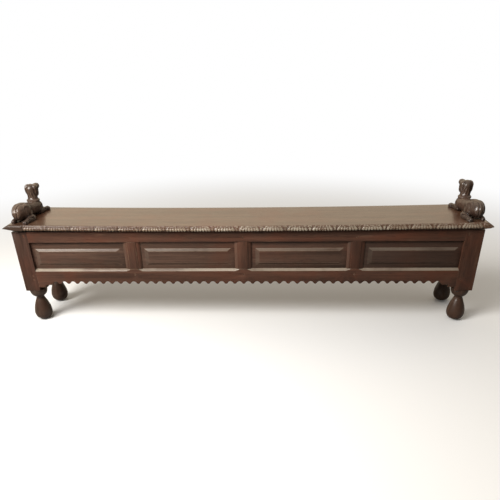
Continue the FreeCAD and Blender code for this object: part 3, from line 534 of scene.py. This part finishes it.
def carving(along, down):
    """Depth of the carving and how worn it is, with a painted highlight in the wear, along the edge and
    down from the top arris.
    """
    pitch = (CARVED_TO - CARVED_FROM) / MOTIF_COUNT
    motif = np.clip(np.floor(along / pitch), 0, MOTIF_COUNT - 1).astype(int)
    slip = np.array([chance.uniform(-1.3, 1.3) for _ in range(MOTIF_COUNT)]) * MM
    hand = np.array([chance.uniform(0.82, 1.1) for _ in range(MOTIF_COUNT)])
    across = along - (motif + 0.5) * pitch + slip[motif]
    fall = np.clip(down / CARVED_HEIGHT, 0, 1)
    fan_half = FAN_HALF + FAN_SPREAD * fall
    lobe = (across / fan_half + 1) * (LOBES / 2)
    from_middle = 2 * (lobe - np.floor(lobe)) - 1
    groove = 0.85 * (1 - np.sqrt(np.maximum(1 - 0.97 * from_middle**2, 0)))
    flute = 0.3 * np.exp(-((from_middle / 0.24) ** 2)) * smooth_step(down, 0.017, 0.009)
    end = smooth_step(down, 0.0255 - 0.005 * from_middle**2, 0.0275 - 0.005 * from_middle**2)
    fan = np.maximum(groove + flute, end)
    to_dart = pitch / 2 - np.abs(across)
    dart_half = DART_HALF - DART_NARROWS * fall
    place = to_dart / np.maximum(dart_half, 0.002)
    dart = 0.1 + 0.3 * np.abs(place) + 0.5 * np.exp(-(((place - 0.6) / 0.14) ** 2))
    dart = np.maximum(dart, smooth_step(down, 0.0235, 0.026))
    ground = np.where(place < 1, np.minimum(dart, 1), 1.0)
    rim = np.exp(-(((np.abs(across) - fan_half) / 0.0014) ** 2)) * smooth_step(down, 0.025, 0.021)
    depth = np.where(np.abs(across) < fan_half, fan, ground) * (1 - 0.85 * rim)
    length = CARVED_TO - CARVED_FROM
    border = smooth_step(down, 0.0012, 0.003) * smooth_step(along, 0, 0.006)
    border = border * smooth_step(along, length, length - 0.006)
    cove = smooth_step(down, 0.003, 0.009) * smooth_step(down, 0.0195, 0.0135)
    # Paler where the carving stands high, which is wear, and paler again on its lower half and along the
    # fan rims, which is a painted highlight.
    wear_and_light = (0.6 - 1.5 * depth) * (0.3 + 0.5 * smooth_step(down, 0.009, 0.018)) + 0.45 * rim
    return (depth * hand[motif] * CUT_DEPTH + cove * COVE_DEPTH) * border, wear_and_light * border


def carved_lid():
    """The plank: a flat grid wrapped round the section, carved in front, bowed and nosed at its ends."""
    outline = lid_section()
    rows = len(outline) - 1
    bpy.ops.object.select_all(action="DESELECT")
    bpy.ops.mesh.primitive_grid_add(x_subdivisions=COLUMNS, y_subdivisions=rows, size=2)
    lid = bpy.context.object
    lid.name = "carved_lid"
    flat = points_of(lid)
    row = np.rint((flat[:, 1] + 1) / 2 * rows).astype(int)
    x = flat[:, 0] * LID_HALF
    steps = np.roll(outline, -1, 0) - np.roll(outline, 1, 0)
    outward = np.stack((-steps[:, 1], steps[:, 0]), 1)
    outward /= np.linalg.norm(outward, axis=1, keepdims=True)
    lengths = np.linalg.norm(np.diff(outline, axis=0), axis=1)
    run = np.concatenate(([0], np.cumsum(lengths)))
    arris = int(np.argmin(np.abs(outline - np.array((ARRIS_ROUND * MM, 0))).sum(1)))
    down = run[arris] - run[row]
    front = (down > 0) & (outline[row, 0] < (ARRIS_ROUND + 0.5) * MM)
    depth, wear_and_light = carving(x - CARVED_FROM, down)
    wear = np.array([noise.noise((place * 21, level * 60, 3)) for place, level in zip(x, down)])
    picks = np.array([noise.noise((place * 170, level * 260, 8)) for place, level in zip(x, down)])
    depth = np.where(front, depth, 0)
    # The last term is painted shade: the carved edge is made less pale towards the left end, which the lamp
    # on the left lights most.
    wear_and_light = wear_and_light * (1 + 1.2 * wear) + 0.35 * picks - 0.28 * smooth_step(-x, 0.0, 0.8)
    # On the uncarved left end the share drops, which paints it darker and rougher: painted shade over the
    # arris where the lamp puts a highlight.
    plain_end = smooth_step(-x, 0.885, 0.9)
    edge_wear_and_light = 0.5 + np.where(front, 0.5 * wear_and_light, 0) - 0.25 * plain_end
    write_share(lid, "wear_and_light", np.where(down > -0.004, edge_wear_and_light, 0.5))
    hollow = depth + np.where(front, 0.25 * MM * wear, 0)
    edge_polish = np.where(row == arris, 0.6, 0.3) * (1 - 0.8 * plain_end)
    write_share(lid, "polish", np.where(row > arris, 1.0, edge_polish))
    # A pale dusty tone and a painted sheen on the ridges of the carved edge; fainter towards the left end,
    # which is painted shade.
    pale = 0.12 + 0.75 * smooth_step(x, -0.8, 0.2) + 0.5 * wear + 0.3 * picks
    ridge = smooth_step(wear_and_light, -0.05, 0.35)
    write_share(lid, "dust_and_light", np.where(front, pale * ridge * (1 - plain_end), 0))
    section = outline[row] - outward[row] * hollow[:, None]
    bow = LID_BOW * (x / LID_HALF) ** 2
    out = np.clip(np.abs(x) - (LID_HALF - NOSE_RUN), 0, None)
    drop = np.where(x < 0, NOSE_FALL_LEFT, NOSE_FALL_RIGHT)
    turn = (NOSE_RUN**2 + drop**2) / (2 * drop)
    top = np.minimum(bow, LID_BOW - turn + np.sqrt(turn**2 - out**2))
    left = (-x - NOSE_UNDER_LEFT[0]) * NOSE_UNDER_LEFT[1]
    right = (x - NOSE_UNDER_RIGHT[0]) * NOSE_UNDER_RIGHT[1]
    under = np.maximum(bow, np.maximum(left, right)) - LID_THICK
    z = top - section[:, 1] / LID_THICK * (under - top)
    sag = smooth_step(x, 0.55, 0.85) * smooth_step(x, 0.958, 0.944) * RIGHT_SAG
    underside = np.array([0, 1, 1, 1, 1, 1, 0.35] + [0] * (rows - 6))
    z -= sag * underside[row]
    move_points(lid, np.stack((x, LID_FRONT + section[:, 0], LID_MIDDLE_TOP + z), 1))
    only(lid)
    bpy.ops.object.mode_set(mode="EDIT")
    bpy.ops.mesh.select_all(action="SELECT")
    bpy.ops.mesh.remove_doubles(threshold=0.01 * MM)
    bpy.ops.mesh.select_all(action="DESELECT")
    bpy.ops.mesh.select_non_manifold(extend=False)
    bpy.ops.mesh.edge_face_add()
    bpy.ops.mesh.select_all(action="SELECT")
    bpy.ops.mesh.normals_make_consistent(inside=False)
    bpy.ops.object.mode_set(mode="OBJECT")
    wear_and_light = np.empty(len(lid.data.vertices), np.float32)
    lid.data.attributes["wear_and_light"].data.foreach_get("value", wear_and_light)
    mark_relief(lid, 1, 0.0012, 2 * wear_and_light - 1)
    bpy.ops.object.shade_smooth_by_angle(angle=math.radians(60))
    write_grain(lid, "x")
    stand_for(lid, "lid_board")


carved_lid()


# Turned feet: one outline from the floor up, spun round, and a copy for each corner.

# Radius and height of each point, in millimetres.
FOOT_OUTLINE = (
    (0.3, 4), (14, 4), (22, 5.2), (30, 10.5), (35.3, 20), (37.7, 34), (36.3, 48), (33, 62),
    (28, 77), (22.6, 91), (18, 101), (16.1, 107.5), (16.4, 110.5), (19.2, 112.3), (25, 115.8),
    (30, 121), (34.3, 129.5), (36.2, 138), (36.1, 140), (35.3, 141), (36.2, 142.2), (36.6, 145),
    (35.9, 148), (33.5, 149.7), (29, 150), (10, 150), (10, 195), (0.3, 195),
)
FOOT_SHOWS_BELOW = 0.1495


def turned_foot():
    """The left front foot: its outline is drawn upwards point by point and spun."""
    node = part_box("foot_front_left")
    middle = (Vector(node[0]) + Vector(node[1])) / 2
    bpy.ops.object.select_all(action="DESELECT")
    bpy.ops.mesh.primitive_plane_add(size=1 * MM, location=(0, 0, 0))
    foot = bpy.context.object
    foot.name = "turned_foot_front_left"
    bpy.ops.object.mode_set(mode="EDIT")
    bpy.ops.mesh.select_all(action="SELECT")
    bpy.ops.mesh.merge(type="CENTER")
    radius, height = FOOT_OUTLINE[0]
    bpy.ops.transform.translate(value=(middle.x + radius * MM, middle.y, height * MM))
    for (radius, height), (next_radius, next_height) in zip(FOOT_OUTLINE, FOOT_OUTLINE[1:]):
        move = ((next_radius - radius) * MM, 0, (next_height - height) * MM)
        bpy.ops.mesh.extrude_vertices_move(TRANSFORM_OT_translate={"value": move})
    bpy.ops.mesh.select_all(action="SELECT")
    bpy.ops.mesh.spin(steps=40, angle=2 * math.pi, center=(middle.x, middle.y, 0), axis=(0, 0, 1))
    bpy.ops.mesh.select_all(action="SELECT")
    bpy.ops.mesh.remove_doubles(threshold=0.01 * MM)
    bpy.ops.mesh.select_all(action="DESELECT")
    bpy.ops.mesh.select_non_manifold(extend=False)
    bpy.ops.mesh.edge_face_add()
    bpy.ops.mesh.select_all(action="SELECT")
    bpy.ops.mesh.normals_make_consistent(inside=False)
    bpy.ops.object.mode_set(mode="OBJECT")
    rounder = foot.modifiers.new("rounder", "SUBSURF")
    rounder.levels = rounder.render_levels = 2
    apply_modifier(foot, rounder)
    return foot


def hand_turned(foot, seed):
    """Slight unevenness of a foot turned by hand and knocked about for a long time."""
    places, normals = points_of(foot), normals_of(foot)
    shown = places[:, 2] < FOOT_SHOWS_BELOW
    dents = np.array([noise.noise(Vector(place) * 34 + Vector((seed, 0, 0))) for place in places])
    move_points(foot, places + normals * (np.where(shown, 0.35 * MM, 0) * dents)[:, None])
    mark_relief(foot, 2, 0.0035)
    only(foot)
    bpy.ops.object.shade_smooth_by_angle(angle=math.radians(50))
    write_grain(foot, "z")


def copy_of(piece, name, shift=(0, 0, 0)):
    copy = bpy.data.objects.new(name, piece.data.copy())
    bpy.context.collection.objects.link(copy)
    move_points(copy, points_of(copy) + np.array(shift))
    return copy


def corner_of(word):
    low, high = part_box("foot_" + word)
    return (Vector(low) + Vector(high)) / 2


first_foot = turned_foot()
feet = {"front_left": first_foot}
for word in ("front_right", "back_left", "back_right"):
    feet[word] = copy_of(first_foot, "turned_foot_" + word, corner_of(word) - corner_of("front_left"))
for seed, (word, foot) in enumerate(feet.items()):
    hand_turned(foot, 3.7 * seed)
    stand_for(foot, "foot_" + word)


# The hounds: soft masses drawn out ring by ring, joined, evened and carved; the right one mirrors the left.

HOUND_FROM_MIDDLE = 0.915
HOUND_LEAN = math.radians(0.993)
HOUND_SEAT = LID_MIDDLE_TOP + LID_BOW * (HOUND_FROM_MIDDLE / LID_HALF) ** 2
HOUND_PLACE = Matrix.Translation((-HOUND_FROM_MIDDLE, 0, HOUND_SEAT)) @ Matrix.Rotation(HOUND_LEAN, 4, "Y")

# Each mass: the direction it runs in, then rings of millimetres in the hound's own space,
# x inwards, y back, z up: place along the run, middle in the two other directions, two half sizes.
HOUND_MASSES = (
    ("y", (-123, -4, 32, 9, 11), (-112, -4, 35, 21, 25), (-90, -4, 37, 27, 34),
     (-62, -3, 38, 27, 36), (-34, 0, 35, 24, 30), (-6, 4, 32, 25, 26), (24, 6, 32, 28, 29),
     (48, 6, 30, 28, 29), (68, 6, 27, 22, 22), (78, 6, 25, 11, 12)),
    ("x", (2, -66, 36, 36, 32), (14, -66, 36, 37, 34), (26, -65, 34, 31, 30), (34, -64, 30, 17, 17)),
    ("x", (-8, -64, 35, 37, 32), (-20, -64, 35, 38, 34), (-32, -64, 33, 33, 29), (-40, -64, 29, 18, 17)),
    ("y", (-122, 30, 6, 7, 8), (-104, 33, 8, 9, 10), (-80, 37, 10, 11, 13), (-60, 38, 11, 9, 12),
     (-48, 37, 12, 5, 6)),
    ("y", (-138, 30, 3, 7, 6), (-131, 30, 5, 11, 10), (-116, 31, 5, 10, 10), (-104, 31, 5, 6, 7)),
    ("y", (-125, -22, 3, 6, 6), (-119, -22, 5, 9, 9), (-100, -25, 6, 9, 9), (-72, -28, 8, 7, 8)),
    ("y", (22, 23, 12, 9, 13), (50, 25, 12, 11, 14), (74, 27, 9, 9, 10), (98, 30, 6, 7, 7)),
    ("y", (80, 29, 5, 9, 9), (90, 31, 6, 12, 11), (102, 31, 6, 12, 11), (110, 31, 4, 8, 7)),
    ("y", (22, -12, 12, 9, 13), (50, -13, 12, 11, 14), (74, -13, 9, 9, 10), (98, -13, 6, 7, 7)),
    ("y", (80, -13, 5, 9, 9), (90, -13, 6, 12, 11), (102, -13, 6, 12, 11), (110, -13, 4, 8, 7)),
    ("z", (34, 5, 36, 28, 29), (50, 4, 40, 25, 26), (64, 2, 42, 20, 21), (82, 1, 44, 18, 20),
     (98, -1, 46, 19, 22), (111, -2, 48, 18, 21), (123, -2, 50, 9, 11)),
    ("z", (50, 3, 39, 23, 25), (53, 3, 40, 27, 29), (61, 2, 41, 26, 28), (65, 2, 41, 20, 22)),
    ("y", (42, 0, 100, 18, 18), (60, 3, 102, 16, 17), (74, 6, 105, 14, 15), (86, 8, 108, 13, 13),
     (93, 9, 109, 8, 8)),
    ("z", (71, 16, 52, 5, 9), (82, 18, 53, 8, 14), (98, 18, 53, 8, 16), (112, 16, 52, 8, 14),
     (120, 11, 51, 6, 8)),
    ("z", (74, -13, 47, 5, 9), (86, -17, 47, 7, 13), (102, -20, 47, 8, 15), (114, -18, 48, 8, 14),
     (122, -12, 48, 6, 9)),
)


def soft_mass(run, rings):
    """An eight-sided disc drawn out from ring to ring and rounded."""
    bpy.ops.object.select_all(action="DESELECT")
    at, across, up, half_across, half_up = (size * MM for size in rings[0])
    bpy.ops.mesh.primitive_circle_add(vertices=8, radius=1.1, fill_type="NGON")
    mass = bpy.context.object
    bpy.ops.object.mode_set(mode="EDIT")
    bpy.ops.mesh.select_all(action="SELECT")
    bpy.ops.transform.rotate(value=math.pi / 8, orient_axis="Z", center_override=(0, 0, 0))
    bpy.ops.transform.resize(value=(half_across, half_up, 1), center_override=(0, 0, 0))
    bpy.ops.transform.translate(value=(across, up, at))
    for before, after in zip(rings, rings[1:]):
        step = [(after[place] - before[place]) * MM for place in (1, 2, 0)]
        bpy.ops.mesh.extrude_region_move(TRANSFORM_OT_translate={"value": step})
        growth = (after[3] / before[3], after[4] / before[4], 1)
        middle = (after[1] * MM, after[2] * MM, after[0] * MM)
        bpy.ops.transform.resize(value=growth, center_override=middle)
    bpy.ops.object.mode_set(mode="OBJECT")
    order = {"x": (2, 0, 1), "y": (0, 2, 1), "z": (0, 1, 2)}[run]
    move_points(mass, points_of(mass)[:, order])
    mass.data.transform(HOUND_PLACE)
    bpy.ops.object.mode_set(mode="EDIT")
    bpy.ops.mesh.select_all(action="SELECT")
    bpy.ops.mesh.normals_make_consistent(inside=False)
    bpy.ops.object.mode_set(mode="OBJECT")
    rounder = mass.modifiers.new("rounder", "SUBSURF")
    rounder.levels = rounder.render_levels = 2
    apply_modifier(mass, rounder)
    return mass


class Chisel:
    """Cuts and swellings on a carved piece, in its own millimetres: x inwards, y back, z up."""

    def __init__(self, piece):
        self.piece = piece
        places = points_of(piece) - np.array((-HOUND_FROM_MIDDLE, 0, HOUND_SEAT))
        cos, sin = math.cos(HOUND_LEAN), math.sin(HOUND_LEAN)
        self.x = (places[:, 0] * cos - places[:, 2] * sin) / MM
        self.y = places[:, 1] / MM
        self.z = (places[:, 0] * sin + places[:, 2] * cos) / MM
        self.height = np.zeros(len(self.x))

    def swell(self, place, size, height):
        """A smooth swelling, or a hollow where the height is negative, inside an ellipsoid."""
        axes = (self.x, self.y, self.z)
        square = sum(((axis - at) / half) ** 2 for axis, at, half in zip(axes, place, size))
        self.height += height * np.clip(1 - square, 0, 1) ** 2

    def line(self, route, width, depth):
        """A groove along a route of points."""
        places = np.stack((self.x, self.y, self.z), 1)
        nearest = np.full(len(places), 1e9)
        for start, end in zip(route, route[1:]):
            start, end = np.array(start, float), np.array(end, float)
            way = end - start
            share = np.clip((places - start) @ way / (way @ way), 0, 1)
            nearest = np.minimum(nearest, np.linalg.norm(places - start - share[:, None] * way, axis=1))
        self.height -= depth * np.exp(-((nearest / width) ** 2))

    def within(self, axis, low, high, soft=3):
        """1 between low and high, fading to 0 over a soft margin."""
        return smooth_step(axis, low - soft, low + soft) * smooth_step(axis, high + soft, high - soft)

    def finish(self):
        """Move the points out or in along their normals; the seat on the lid stays flat."""
        places = points_of(self.piece)
        seated = smooth_step(self.z, 0.3, 3)
        moved = places + normals_of(self.piece) * (self.height * seated * MM)[:, None]
        move_points(self.piece, moved)


def soften(piece, size, passes):
    """Turn joined masses into one even skin and smooth it."""
    remesh = piece.modifiers.new("evened", "REMESH")
    remesh.mode = "VOXEL"
    remesh.voxel_size = size
    apply_modifier(piece, remesh)
    relax = piece.modifiers.new("softened", "SMOOTH")
    relax.factor = 0.5
    relax.iterations = passes
    apply_modifier(piece, relax)


def carve_paw(knife, x, y_low, y_high):
    """Two grooves between the toes and a swelling over them."""
    ahead = knife.within(knife.y, y_low, y_high, 2) * (np.abs(knife.x - x) < 12)
    for toe in (-3.4, 3.4):
        knife.height -= 1.7 * np.exp(-(((knife.x - x - toe) / 1.2) ** 2)) * ahead
    knife.swell((x, (y_low + y_high) / 2, 9), (11, 9, 9), 1.2)


def carve_head(knife):
    """Brows, eyes, mouth, nose and ears."""
    for side in (-1, 1):
        eye = (-1 + side * 13.5, 63, 106)
        knife.swell((eye[0], 64, 112), (6, 7, 3.5), 1.6)
        knife.swell(eye, (7, 6.5, 5.5), -1.3)
        knife.swell(eye, (3.6, 3.8, 3), 2.6)
        mouth = [(3 + side * 13, 64, 95), (6 + side * 12, 76, 99), (8 + side * 11, 86, 101), (9, 92, 102)]
        knife.line(mouth, 1.3, 1.5)
        knife.line([(9 + side * 3.4, 92, 113), (9 + side * 6.5, 89, 112)], 1.5, 1.4)
        ear_x = 25 if side > 0 else -27
        knife.swell((ear_x, 50, 98), (6, 7, 13), -1.5)
        knife.line([(ear_x, 41, 84), (ear_x, 38, 98), (ear_x - 4 * side, 40, 114)], 1.6, 1.2)
    knife.swell((9, 90, 113), (6, 5, 4), 1.4)
    knife.line([(3, 66, 116), (7, 80, 119)], 2.2, 0.8)


def carve_coat(knife):
    """Flutes on the rump, the edge of the thigh, ribs, and short locks down the neck and chest."""
    lock = (knife.x * 0.8 - knife.y * 0.35 + 0.15 * knife.z + 2 * np.sin(knife.z / 9)) / 11.5
    rump = knife.within(knife.z, 8, 66, 7) * smooth_step(knife.y, -46, -66)
    knife.height += (1.0 - 3.2 * np.exp(-((np.sin(math.pi * lock) / 0.4) ** 2))) * rump
    thigh = np.sqrt(((knife.y + 64) / 36) ** 2 + ((knife.z - 32) / 34) ** 2)
    aside = smooth_step(np.abs(knife.x + 3), 14, 20)
    knife.height -= 2.4 * np.exp(-(((thigh - 1.02) / 0.07) ** 2)) * aside * smooth_step(knife.y, -70, -50)
    knife.height += 1.4 * np.exp(-(((thigh - 0.86) / 0.09) ** 2)) * aside * smooth_step(knife.y, -70, -50)
    shank = knife.within(knife.y, -112, -50, 6) * knife.within(knife.z, 4, 24, 4)
    shank = shank * smooth_step(knife.x, 26, 32)
    strand = np.sin(math.pi * (knife.z - 0.12 * knife.y) / 8.5)
    knife.height -= 1.5 * np.exp(-((strand / 0.4) ** 2)) * shank
    ribs = knife.within(knife.y, -20, 30, 8) * knife.within(knife.z, 14, 44, 6)
    ribs = ribs * smooth_step(np.abs(knife.x - 4), 12, 20)
    knife.height += 0.7 * np.cos((knife.y + 0.4 * knife.z) / 9 * 2 * math.pi) * ribs
    neck = knife.within(knife.z, 68, 92, 5) * knife.within(knife.y, 0, 66, 5)
    turn = np.arctan2(knife.y - 42, knife.x)
    knife.height += 0.8 * np.cos(turn * 11 + knife.z * 0.09) * neck
    chest = smooth_step(knife.y, 48, 60) * knife.within(knife.z, 10, 46, 5) * (knife.y < 82)
    knife.height += 0.9 * np.cos(knife.x / 7 * 2 * math.pi + knife.z * 0.12) * chest
    for z in (52.5, 62.5):
        band = np.exp(-(((knife.z - z) / 1.3) ** 2)) * knife.within(knife.y, 12, 68, 2)
        knife.height -= 0.8 * band * (np.abs(knife.x - 3) < 27)


def carved_hound():
    """The left hound: masses joined, evened, cut flat at the lid, carved, marked with wear and soil, and
    painted darker towards the bottom and underneath as painted shade.
    """
    masses = [soft_mass(run, rings) for run, *rings in HOUND_MASSES]
    bpy.ops.object.select_all(action="DESELECT")
    for mass in masses:
        mass.select_set(True)
    hound = masses[0]
    bpy.context.view_layer.objects.active = hound
    bpy.ops.object.join()
    hound.name = "carved_hound_left"
    soften(hound, 1.35 * MM, 5)
    bpy.ops.object.mode_set(mode="EDIT")
    bpy.ops.mesh.select_all(action="SELECT")
    seat = HOUND_PLACE @ Vector((0, 0, 0.05 * MM))
    up = HOUND_PLACE.to_3x3() @ Vector((0, 0, 1))
    bpy.ops.mesh.bisect(plane_co=seat, plane_no=up, use_fill=True, clear_inner=True)
    bpy.ops.object.mode_set(mode="OBJECT")
    knife = Chisel(hound)
    for x in (31, -13):
        carve_paw(knife, x, 95, 112)
    carve_paw(knife, 30, -140, -122)
    carve_paw(knife, -28, -129, -112)
    carve_head(knife)
    carve_coat(knife)
    marks = [noise.noise(Vector(place) * 0.11) for place in zip(knife.x, knife.y, knife.z)]
    knife.height += 0.55 * np.array(marks)
    knife.finish()
    relax = hound.modifiers.new("softened", "SMOOTH")
    relax.factor = 0.4
    relax.iterations = 1
    apply_modifier(hound, relax)
    # Painted shade: darker towards the bottom and under faces that look down, kept in the same shares as
    # wear and soil.
    shade = smooth_step(knife.z, 42, 6) * 0.75 + np.clip(-normals_of(hound)[:, 2], 0, 1) * 0.4
    mark_relief(hound, 3, 0.005, 0.16 - shade)
    bpy.ops.object.shade_smooth()
    return hound


def mirrored(piece, name):
    twin = copy_of(piece, name)
    move_points(twin, points_of(twin) * np.array((-1, 1, 1)))
    only(twin)
    bpy.ops.object.mode_set(mode="EDIT")
    bpy.ops.mesh.select_all(action="SELECT")
    bpy.ops.mesh.flip_normals()
    bpy.ops.object.mode_set(mode="OBJECT")
    return twin


left_hound = carved_hound()
other_hound = copy_of(left_hound, "other_hound")
knife = Chisel(other_hound)
# The right hound is fuller below its outer ear.
knife.swell((-21, 47, 79), (12, 17, 18), 4.5)
knife.finish()
right_hound = mirrored(other_hound, "carved_hound_right")
bpy.data.objects.remove(other_hound)
for word, hound in (("left", left_hound), ("right", right_hound)):
    write_grain(hound, "y")
    stand_for(hound, "hound_" + word)


# Hinge screws: one slotted head, copied to both leaves of each hinge.

HINGE_MIDDLES = (-0.62, 0, 0.62)
SCREW_SPACING = 0.026
SCREW_RADIUS = 3.4 * MM
SCREWS_UP_BOX = 12 * MM
SCREWS_DOWN_LID = 8 * MM
LEAF_THICK = 2.5 * MM


def leaf_back(leaf):
    """Where the flat plate of a leaf ends at the back."""
    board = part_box("back_top_rail") if leaf == "box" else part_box("lid_board")
    return board[1][1] + LEAF_THICK


def pick_faces(piece, wanted):
    """Select in edit mode the faces whose middle passes the test."""
    bpy.ops.object.mode_set(mode="EDIT")
    bpy.ops.mesh.select_mode(type="FACE")
    bpy.ops.mesh.select_all(action="DESELECT")
    bpy.ops.object.mode_set(mode="OBJECT")
    for face in piece.data.polygons:
        face.select = wanted(face.center)
    bpy.ops.object.mode_set(mode="EDIT")


def slotted_screw():
    """A low round head with a slot, facing back."""
    bpy.ops.object.select_all(action="DESELECT")
    bpy.ops.mesh.primitive_cylinder_add(vertices=20, radius=SCREW_RADIUS, depth=1.2 * MM)
    screw = bpy.context.object
    screw.name = "hinge_screw"
    pick_faces(screw, lambda middle: middle.z > 0.5 * MM)
    bpy.ops.mesh.inset(thickness=0.5 * MM, depth=0.45 * MM)
    for side in (-0.45 * MM, 0.45 * MM):
        pick_faces(screw, lambda middle: middle.z > 1.0 * MM)
        bpy.ops.mesh.bisect(plane_co=(side, 0, 0), plane_no=(1, 0, 0))
    pick_faces(screw, lambda middle: middle.z > 1.0 * MM and abs(middle.x) < 0.4 * MM)
    bpy.ops.mesh.extrude_region_move(TRANSFORM_OT_translate={"value": (0, 0, -0.7 * MM)})
    bpy.ops.mesh.select_mode(type="VERT")
    bpy.ops.mesh.select_all(action="SELECT")
    bpy.ops.transform.rotate(value=math.pi / 2, orient_axis="X", center_override=(0, 0, 0))
    bpy.ops.mesh.normals_make_consistent(inside=False)
    bpy.ops.object.mode_set(mode="OBJECT")
    bpy.ops.object.shade_smooth_by_angle(angle=math.radians(30))
    return screw


first_screw = slotted_screw()
for leaf in ("box", "lid"):
    for hinge, middle in zip(("left", "middle", "right"), HINGE_MIDDLES):
        low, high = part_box("hinge_%s_leaf_%s" % (leaf, hinge))
        height = low[2] + SCREWS_UP_BOX if leaf == "box" else high[2] - SCREWS_DOWN_LID
        for number, step in enumerate((-SCREW_SPACING, 0, SCREW_SPACING)):
            place = (middle + step, leaf_back(leaf), height)
            turn = Matrix.Rotation(chance.uniform(0, math.pi), 4, "Y")
            screw = copy_of(first_screw, "hinge_screw_%s_%s_%d" % (leaf, hinge, number + 1))
            screw.data.transform(Matrix.Translation(place) @ turn)
            screw.data.materials.append(FINISHES["iron"])
            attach(screw, BODIES["hinge_%s_leaf_%s" % (leaf, hinge)])
bpy.data.objects.remove(first_screw)


# The stage: a pale floor that fades into a white surround, soft daylight from the left and a ceiling light.

FLOOR_HALF = 30
FLOOR_FADES = (1.2, 3.2)


def pale_floor():
    """Pale round the bench, so that it keeps the shadow, and white further away."""
    bpy.ops.object.select_all(action="DESELECT")
    bpy.ops.mesh.primitive_plane_add(size=2 * FLOOR_HALF, location=(0, 0, 0))
    floor = bpy.context.object
    floor.name = "floor"
    paint = Finish("pale floor")
    shade = paint.blend(paint.seen("Camera"), (0.3, 0.29, 0.27), (0.93, 0.94, 0.95))
    paint.end(Base_Color=shade, Roughness=0.9, Specular_IOR_Level=0.1)
    place = paint.object_place()
    away = paint.node("ShaderNodeVectorMath", {"operation": "LENGTH"}, {0: place}, output=1)
    near = Wire(paint, paint.shader.outputs[0])
    white = paint.node("ShaderNodeEmission", None, {"Color": (1, 1, 1), "Strength": paint.seen("Camera")})
    both = paint.node("ShaderNodeMixShader", None, {0: away.between(*FLOOR_FADES), 1: near, 2: white})
    paint.feed(paint.tree.nodes["Material Output"].inputs["Surface"], both)
    floor.data.materials.append(paint.material)


def surround():
    """White where it is looked at; its light comes mostly from above and from the wall behind."""
    world = bpy.data.worlds.new("surround")
    bpy.context.scene.world = world
    world.use_nodes = True
    sky = Mix(world.node_tree)
    light = sky.tree.nodes["Background"]
    way = sky.node("ShaderNodeTexCoord", None, output=0)
    parts = [sky.node("ShaderNodeSeparateXYZ", None, {0: way}, output=index) for index in range(3)]
    overhead = parts[2].between(0.3, 1.0)
    behind = parts[1].between(0.1, 0.8)
    glow = overhead * 0.4 + behind * (0.56 - parts[0] * 0.2) + 0.08
    looked_at = sky.seen("Camera", "Transmission")
    warmth = sky.blend(behind, (1.0, 0.95, 0.88), (1.0, 0.84, 0.62))
    sky.feed(light.inputs["Color"], sky.blend(looked_at, warmth, (1, 1, 1)))
    sky.feed(light.inputs["Strength"], looked_at.step("MAXIMUM", looked_at, glow))


def soft_lamp(name, place, aim, size, power, colour):
    """A broad oval lamp turned towards its aim."""
    data = bpy.data.lights.new(name, "AREA")
    data.shape = "ELLIPSE"
    data.size, data.size_y = size
    data.energy = power
    data.color = colour
    lamp = bpy.data.objects.new(name, data)
    bpy.context.collection.objects.link(lamp)
    turn = (Vector(aim) - Vector(place)).to_track_quat("-Z", "Y")
    lamp.matrix_world = Matrix.Translation(place) @ turn.to_matrix().to_4x4()


pale_floor()
surround()
soft_lamp(
    "window on the left", place=(-2.0, -1.6, 2.0), aim=(-0.4, 0, 0.3),
    size=(1.4, 1.4), power=76, colour=(1, 0.96, 0.9),
)
soft_lamp(
    "ceiling light", place=(-1.0, -1.5, 2.2), aim=(-0.3, -0.2, 0.3),
    size=(1.4, 1.8), power=35, colour=(1, 0.97, 0.93),
)
